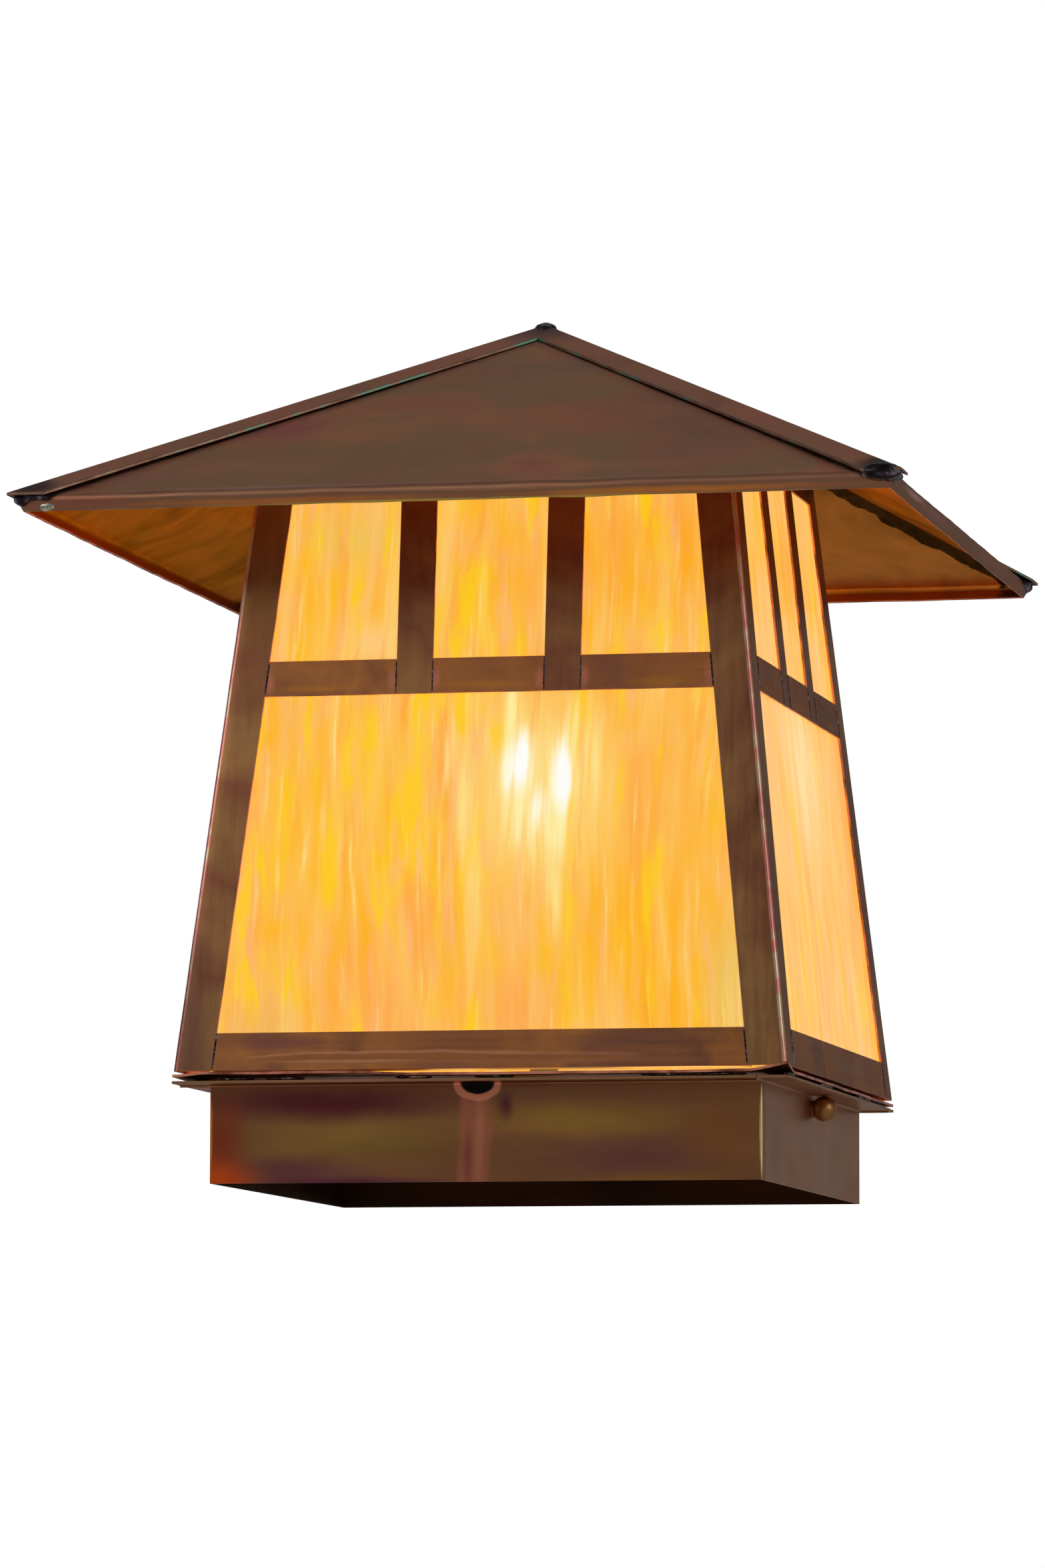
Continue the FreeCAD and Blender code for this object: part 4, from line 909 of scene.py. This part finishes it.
def corner_part(angle, seed):
    """L section of the front right corner carried up along the leaning corner."""
    bend = np.linspace(0, math.pi / 2, 7)
    leg = np.linspace(LEG, ANGLE_BEND, 5)[:-1]

    def section(radius, depth):
        """(inset along the front, inset along the side) of a skin a depth behind the outer one."""
        turn = np.stack([ANGLE_BEND - radius * np.sin(bend), ANGLE_BEND - radius * np.cos(bend)], axis=-1)
        first = np.stack([leg, np.full(len(leg), depth)], axis=-1)
        last = np.stack([np.full(len(leg), depth), leg[::-1]], axis=-1)
        return np.concatenate([first, turn, last])

    z = np.linspace(BODY_BOTTOM, BODY_TOP, 60)[:, None]
    skins = []
    for radius, depth in ((ANGLE_BEND, 0.0), (ANGLE_BEND - SHEET, SHEET)):
        inset = section(radius, depth)
        sway = CORNER_SWAY * ripple(z, inset[None, :, 0], 60.0, seed) if depth == 0.0 else 0.0
        half = half_width(z) - np.abs(sway)
        x = half - inset[None, :, 0]
        y = -half + inset[None, :, 1]
        skins.append(np.stack([x, y, np.broadcast_to(z, x.shape)], axis=-1))
    return sheet_part(skins[0], skins[1], angle)


for number, (corner, angle) in enumerate(CORNER_ANGLES.items()):
    copper_sheet(f"corner_angle_{corner}", [corner_part(angle, 60 + number)], upright_copper, edge_copper)

# %% Glass panes
GLASS_FRONT = SHEET + 0.15                    # depth of the pane's face behind the outside of the wall
GLASS_THICKNESS = 3.0
GLASS_INSET = 6.5                             # from the corner of the body to the pane's edge
GLASS_TOP_GAP = 2.5
ROLL, BOW = 0.16, 0.1                         # fine and broad unevenness of the rolled face


def pane_part(angle, seed):
    """Pane with the rolled ripple of art glass, sunk behind the metal."""
    low, high = BODY_BOTTOM + SHEET + LAP, BODY_TOP - GLASS_TOP_GAP
    u, z = np.meshgrid(np.linspace(-1, 1, 81), np.linspace(low, high, 101))
    x = u * (half_width(z) - GLASS_INSET)
    roll = ROLL * (1 + ripple(x, z * 0.3, 11.0, seed)) + BOW * (1 + ripple(x, z, 30.0, seed + 50))
    front, back = wall_point(x, z, GLASS_FRONT + roll), wall_point(x, z, GLASS_FRONT + GLASS_THICKNESS)
    return sheet_part(front, back, angle, kinds=(0, 0, 0))


for number, (side, angle) in enumerate(SIDE_ANGLES.items()):
    make_piece(f"glass_{side}_pane", [pane_part(angle, 80 + number)], [glass_materials[side]], "lantern",
               [f"glass_{side}"])

# %% [markdown]
# ## Roof
# A panel is one folded sheet: the slope, a soft fold at the eave and a narrow fascia. Its
# section is carried along the eave and cut on the hips where x equals y.

# %% Roof panels
PANEL_COLUMNS, SLOPE_ROWS = 91, 56
SAG, QUIVER = 0.30, 0.12                      # broad and fine unevenness of a panel
FLAT_BESIDE, FREE_BESIDE = 16.0, 30.0         # a panel lies flat within the first of a hip


def fold_section(radius, offset, slope_points):
    """(y, z) of one skin from the fascia's lower edge round the fold to near the peak."""
    fascia_angle = math.atan2(FASCIA_HEIGHT, FASCIA_LEAN)
    fascia = np.array([math.cos(fascia_angle), -math.sin(fascia_angle)])
    slope = np.array([1.0, SLOPE]) / SLOPE_FACTOR
    half_angle = math.acos(float(fascia @ slope)) / 2
    inward = (fascia + slope) / np.linalg.norm(fascia + slope)
    corner = np.array([-ROOF_HALF, EAVE_Z])
    centre = corner + inward * radius / math.sin(half_angle)
    start_normal = inward - fascia * (inward @ fascia)
    start_normal /= np.linalg.norm(start_normal)
    end_normal = inward - slope * (inward @ slope)
    end_normal /= np.linalg.norm(end_normal)
    first, last = (math.atan2(-n[1], -n[0]) for n in (start_normal, end_normal))
    if first > 0:
        first -= 2 * math.pi
    if last > first + math.pi:
        last -= 2 * math.pi
    sweep = np.linspace(first, last, 9)
    arc = centre + (radius - offset) * np.stack([np.cos(sweep), np.sin(sweep)], axis=-1)
    low_edge = corner + fascia * math.hypot(FASCIA_HEIGHT, FASCIA_LEAN) + start_normal * offset
    fascia_points = low_edge + (arc[0] - low_edge) * np.linspace(0, 1, 4)[:-1, None]
    ridge = np.array([-1.0, PEAK_Z - SLOPE - offset * SLOPE_FACTOR])
    slope_run = arc[-1] + (ridge - arc[-1]) * np.linspace(0, 1, slope_points)[1:, None]
    return np.concatenate([fascia_points, arc, slope_run])


def roof_part(angle, seed):
    """Front roof panel, oil-canned by some tenths of a millimetre between the hip caps."""
    skins = []
    for offset in (0.0, SHEET):
        section = fold_section(EAVE_BEND, offset, SLOPE_ROWS)
        y = np.repeat(section[:, :1], PANEL_COLUMNS, axis=1)
        z = np.repeat(section[:, 1:], PANEL_COLUMNS, axis=1)
        x = -y * np.linspace(-1, 1, PANEL_COLUMNS)[None, :]
        clear = smoothstep(FLAT_BESIDE, FREE_BESIDE, (-y - np.abs(x)))
        free = clear * smoothstep(0.0, 60.0, ROOF_HALF + y) + 0.25 * clear
        z = z - SAG * free * (1 + ripple(x, y, 85.0, seed)) + QUIVER * clear * ripple(x, y, 22.0, seed + 9)
        skins.append(np.stack([x, y, z], axis=-1))
    return sheet_part(skins[0], skins[1], angle, kinds=(0, 1, 2))


for number, (side, angle) in enumerate(SIDE_ANGLES.items()):
    panel = roof_part(angle, 100 + number)
    copper_sheet(f"roof_panel_{side}", [panel], roof_copper, glowing_underside, edge_copper)

# %% Hip caps
RIDGE_ROUND = 0.2                             # how softly the two halves of the V meet


def cap_part(angle, seed):
    """Shallow V down the front right hip, ended along the eaves.

    Rows run across the V, and columns down the hip.
    """
    spread = np.concatenate([np.linspace(-1, -0.06, 7), [-0.03, 0.0, 0.03], np.linspace(0.06, 1, 7)])
    a = (spread * CAP_REACH)[:, None]
    u = np.linspace(0, 1, 90)[None, :]
    skins = []
    for lift in (LAP + SHEET, LAP):
        inset = np.abs(a) / math.sqrt(2)
        r = inset + (CAP_END - 2 * inset) * u
        ridge = PEAK_Z - CAP_SLOPE * r + lift * SLOPE_FACTOR
        z = ridge - CAP_SIDE_SLOPE * np.sqrt(a ** 2 + RIDGE_ROUND ** 2)
        z = z + 0.10 * np.abs(spread)[:, None] * ripple(r, a * 2, 34.0, seed) * smoothstep(0, 0.2, u)
        skins.append(np.stack([r + a / math.sqrt(2), -r + a / math.sqrt(2), z], axis=-1))
    return sheet_part(skins[0], skins[1], angle)


for number, (corner, angle) in enumerate(CORNER_ANGLES.items()):
    copper_sheet(f"hip_cap_{corner}", [cap_part(angle, 120 + number)], cap_copper, dark_edge, crease=20.0)

# %% [markdown]
# ## Solder on the roof
# A smooth drop closes the caps at the peak, and under each cap's end a black, lumpy fillet
# closes the gap down to the fascia. One paler drop stayed bare on the front left fascia.

# %% Roof solder
PEAK_DROP = 3.4
roof_lumps = [lump_part((0, 0, cad_high[2] / MM - PEAK_DROP), (4.4, 4.4, PEAK_DROP), 1, lumps=0.04),
              lump_part((148.4, -153.7, EAVE_Z + 0.2), (7.4, 3.0, 3.0), 8, lumps=0.05)]
corner_lumps = [
    lump_part((151.2, -151.2, EAVE_Z - 0.7), (3.2, 3.2, 2.5), 2, lumps=0.04),
    bead_part((153.6, -153.0, EAVE_Z + 0.1), (140.5, -152.7, EAVE_Z - 0.2), 1.6, 3, flat=(0.9, 0.85)),
    bead_part((153.0, -153.6, EAVE_Z + 0.1), (152.7, -140.5, EAVE_Z - 0.2), 1.6, 4, flat=(0.9, 0.85)),
]
roof_lumps += [turned_part(part, angle) for angle in EVERY_SIDE for part in corner_lumps]
roof_lumps.append(lump_part((-142.4, -151.9, EAVE_Z - 3.4), (2.6, 0.55, 1.6), 5, kind=1))
make_piece("roof_solder_lumps", roof_lumps, [black_solder, grey_solder], "lantern",
           ["roof_solder"])

# %% Solder in the butt joints
SEAM_DEPTH = 0.12                             # of a bead's middle behind the outer face
joint_beads = []
for number, angle in enumerate(EVERY_SIDE):
    for low, high in ((BODY_BOTTOM + 0.4, RAIL_TOP), (MID_LOW + 0.2, MID_HIGH - 0.2)):
        for place, edge in enumerate((inner_leg, outer_leg)):
            ends = [wall_point(edge(z), z, SEAM_DEPTH) for z in (low, high)]
            joint_beads.append(turned_part(bead_part(*ends, 0.34, 10 * number + place), angle))
    for place, edge in enumerate(edges[1:-1]):
        ends = [wall_point(edge(z), z, SEAM_DEPTH) for z in (MID_LOW + 0.2, MID_HIGH - 0.2)]
        joint_beads.append(turned_part(bead_part(*ends, 0.28, 10 * number + 4 + place), angle))
make_piece("butt_joint_solder", joint_beads, [black_solder], "lantern")

# %% [markdown]
# ## Base plate
# The plate is a square ring of sheet with its inner edge cut back for the hanging tabs. It was
# soldered down by hand: its front edge curls up on the left until it meets the lantern, its
# sides wave a little, and the front right corner is bent up. One closed surface goes across
# the top, round the outer edge, back underneath and round the inner edge.

# %% Base plate
PLATE_INSET = 8.6                             # how far the plate reaches in past the sleeve
PLATE_OPENING = SLEEVE_OUT - SHEET - PLATE_INSET
NOTCH_HALF = 13.0
CURL_RISE, WAVE = 0.95, 0.16
FLAP = 13.0                                   # side of the bent corner
FLAP_DEPTH = FLAP / math.sqrt(2)
FLAP_RISE, FLAP_LEAN = 2.7, 0.4               # how far its tip rises, and leans outwards


def plate_lift(x, y):
    """How far the plate stands above its flat shape, and the share of the way into the bent corner."""
    rim = smoothstep(98.0, 108.0, np.maximum(np.abs(x), np.abs(y)))
    curl = CURL_RISE * smoothstep(22.0, 44.0, -x) * smoothstep(99.0, 108.0, -y)
    curl *= smoothstep(-107.0, -96.0, x)
    waves = WAVE * rim * ripple(x, y, 44.0, 7)
    into_flap = np.clip((x - y - 2 * PLATE_HALF + FLAP) / math.sqrt(2) / FLAP_DEPTH, 0, 1)
    return curl + waves + FLAP_RISE * into_flap ** 1.2, into_flap


def plate_ring():
    """Ring of the plate. Rows go from the inner edge over the top to the outer edge and back underneath."""
    columns = []
    for angle in EVERY_SIDE:
        notch = NOTCH_HALF if angle in (90, 270) else 0.0
        steps = [-notch - 0.01, -notch, notch, notch + 0.01]
        along = np.union1d(np.linspace(-PLATE_HALF, PLATE_HALF, 121), steps)[:-1]
        in_notch = (np.abs(along) <= notch) & (notch > 0)
        depth = np.where(in_notch, SLEEVE_OUT - SHEET, PLATE_OPENING)
        inner = np.stack([np.clip(along, -PLATE_OPENING, PLATE_OPENING), -depth], axis=-1)
        outer = np.stack([along, np.full(len(along), -PLATE_HALF)], axis=-1)
        share = np.linspace(0, 1, 9)[:, None, None]
        flat = inner * (1 - share) + outer * share
        columns.append(turned(np.concatenate([flat, 0 * flat[..., :1]], axis=-1), angle))
    flat = np.concatenate(columns, axis=1)
    lift, into_flap = plate_lift(flat[..., 0], flat[..., 1])
    lean = FLAP_LEAN * into_flap / math.sqrt(2)
    top = flat + np.stack([lean, -lean, PLATE_TOP + lift], axis=-1)
    bottom = top - np.array([0, 0, SHEET])
    rows = np.concatenate([top, bottom[::-1], top[:1]])
    faces = grid_faces(len(rows), rows.shape[1], closed=True)
    kinds = np.zeros((len(rows) - 1, rows.shape[1]))
    kinds[len(top) - 1] = kinds[-1] = 1
    return rows.reshape(-1, 3), faces, kinds.ravel()


copper_sheet("base_plate", [plate_ring()], plate_copper, edge_copper, body="post_base", bevel=0.14)

# %% Solder under the plate
RUN_Z = (SLEEVE_TOP + PLATE_LOW) / 2
RUN_Y = -(PLATE_HALF - 1.0)
runs_by_side = {0: [(-91, -79), (-75, -61), (-29, -16), (-1, 13), (57, 94)],
                90: [(-106, -92), (-40, -18), (30, 62)],
                180: [(-80, -52), (-20, 4), (48, 86)],
                270: [(-84, -60), (-12, 14), (52, 80)]}
plate_runs = []
for angle, spans in runs_by_side.items():
    for number, (start, end) in enumerate(spans):
        run = bead_part((start, RUN_Y, RUN_Z), (end, RUN_Y, RUN_Z), 0.6, angle + number, flat=(2.2, 1.0))
        plate_runs.append(turned_part(run, angle))
make_piece("plate_solder_runs", plate_runs, [solder], "post_base", ["base_plate_solder"])

# %% [markdown]
# ## Ball nuts
# The nuts are turned brass balls with a flat seat and a blind tapped hole, aged with the
# copper. A profile turned about its axis makes one, and its axis is then laid along X.

# %% Ball nuts
aged_brass = patinated_copper(
    "aged_turned_brass", ["#4a3220", "#6a4a2c", "#5a3e26", "#7a5836"], (2.0, 2.0, 2.0), 9,
    mottle=14.0, depth=0.05, gloss=(0.34, 0.44), light=0.3)
BALL_RADIUS, BALL_SEAT = 4.5, 3.55
BORE_RADIUS, BORE_DEPTH = 2.14, 6.6
SEAT_ANGLE = math.asin(BALL_SEAT / BALL_RADIUS)
ball_turn = np.linspace(-SEAT_ANGLE, math.pi / 2, 40)
ball_profile = [(0, BORE_DEPTH), (BORE_RADIUS, BORE_DEPTH), (BORE_RADIUS, 0), *zip(
    BALL_RADIUS * np.cos(ball_turn), BALL_SEAT + BALL_RADIUS * np.sin(ball_turn))]
for side, sign in (("right", 1), ("left", -1)):
    points, faces, kinds = lathe_part(ball_profile)
    laid = np.stack([sign * (KNOB_SEAT + points[:, 2]), points[:, 0], KNOB_Z + points[:, 1]], axis=-1)
    make_piece(f"ball_nut_{side}_turned", [(laid, faces, kinds)], [aged_brass], f"{side}_knob",
               [f"ball_knob_{side}"])

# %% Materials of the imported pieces
plain_looks = {
    "zinc_plated_steel": ("#9b9c98", 1.0, 0.35), "green_zinc_steel": ("#2f6b3a", 0.6, 0.4),
    "bright_brass": ("#c9a257", 1.0, 0.25), "black_phenolic": ("#151311", 0.0, 0.3),
    "white_porcelain": ("#e9e6dd", 0.0, 0.12), "black_glass": ("#0c0b0b", 0.0, 0.1),
    "nickel_plate": ("#b9b4a8", 1.0, 0.2), "clear_glass": ("#e8ecec", 0.0, 0.05),
    "tungsten": ("#8f8d88", 1.0, 0.4),
}
slot_materials = {"tin_solder": solder, "patinated_copper": plate_copper, "aged_brass": aged_brass}
for slot_name, (code, metallic, roughness) in plain_looks.items():
    material, tree, shader = new_material(slot_name)
    grain = noise(tree, object_place(tree), 180.0, 4.0)
    rough = remap(tree, grain, to_low=roughness * 0.7, to_high=roughness * 1.4)
    fill(tree, shader, {"Base Color": linear(code), "Metallic": metallic, "Roughness": rough})
    slot_materials[slot_name] = material

# The bulb's glass is brightest where its filament stands.
lit_glass, tree, shader = new_material("frosted_lit_glass")
near_filament = spot(tree, object_place(tree), (0, 0, BULB_HEIGHT), (34, 34, 34), 1.0)
lit_colour = ramp(tree, near_filament, [(0.0, "#f0b868"), (0.5, "#fff0c8")])
fill(tree, shader, {"Base Color": linear("#fbf4e6"), "Roughness": 0.35,
                    "Emission Color": lit_colour, "Emission Strength": 0.9})
slot_materials["frosted_glass"] = lit_glass
node_materials = {f"sleeve_{side}": sleeve_copper for side in SIDE_ANGLES}
node_slots = {entry["node"]: entry["material_slot"] for entry in frame["record"]["subparts"]}
for name, node in frame["nodes"].items():
    if node.hide_render:
        continue
    node.data.materials.clear()
    node.data.materials.append(node_materials.get(name) or slot_materials[node_slots[name]])
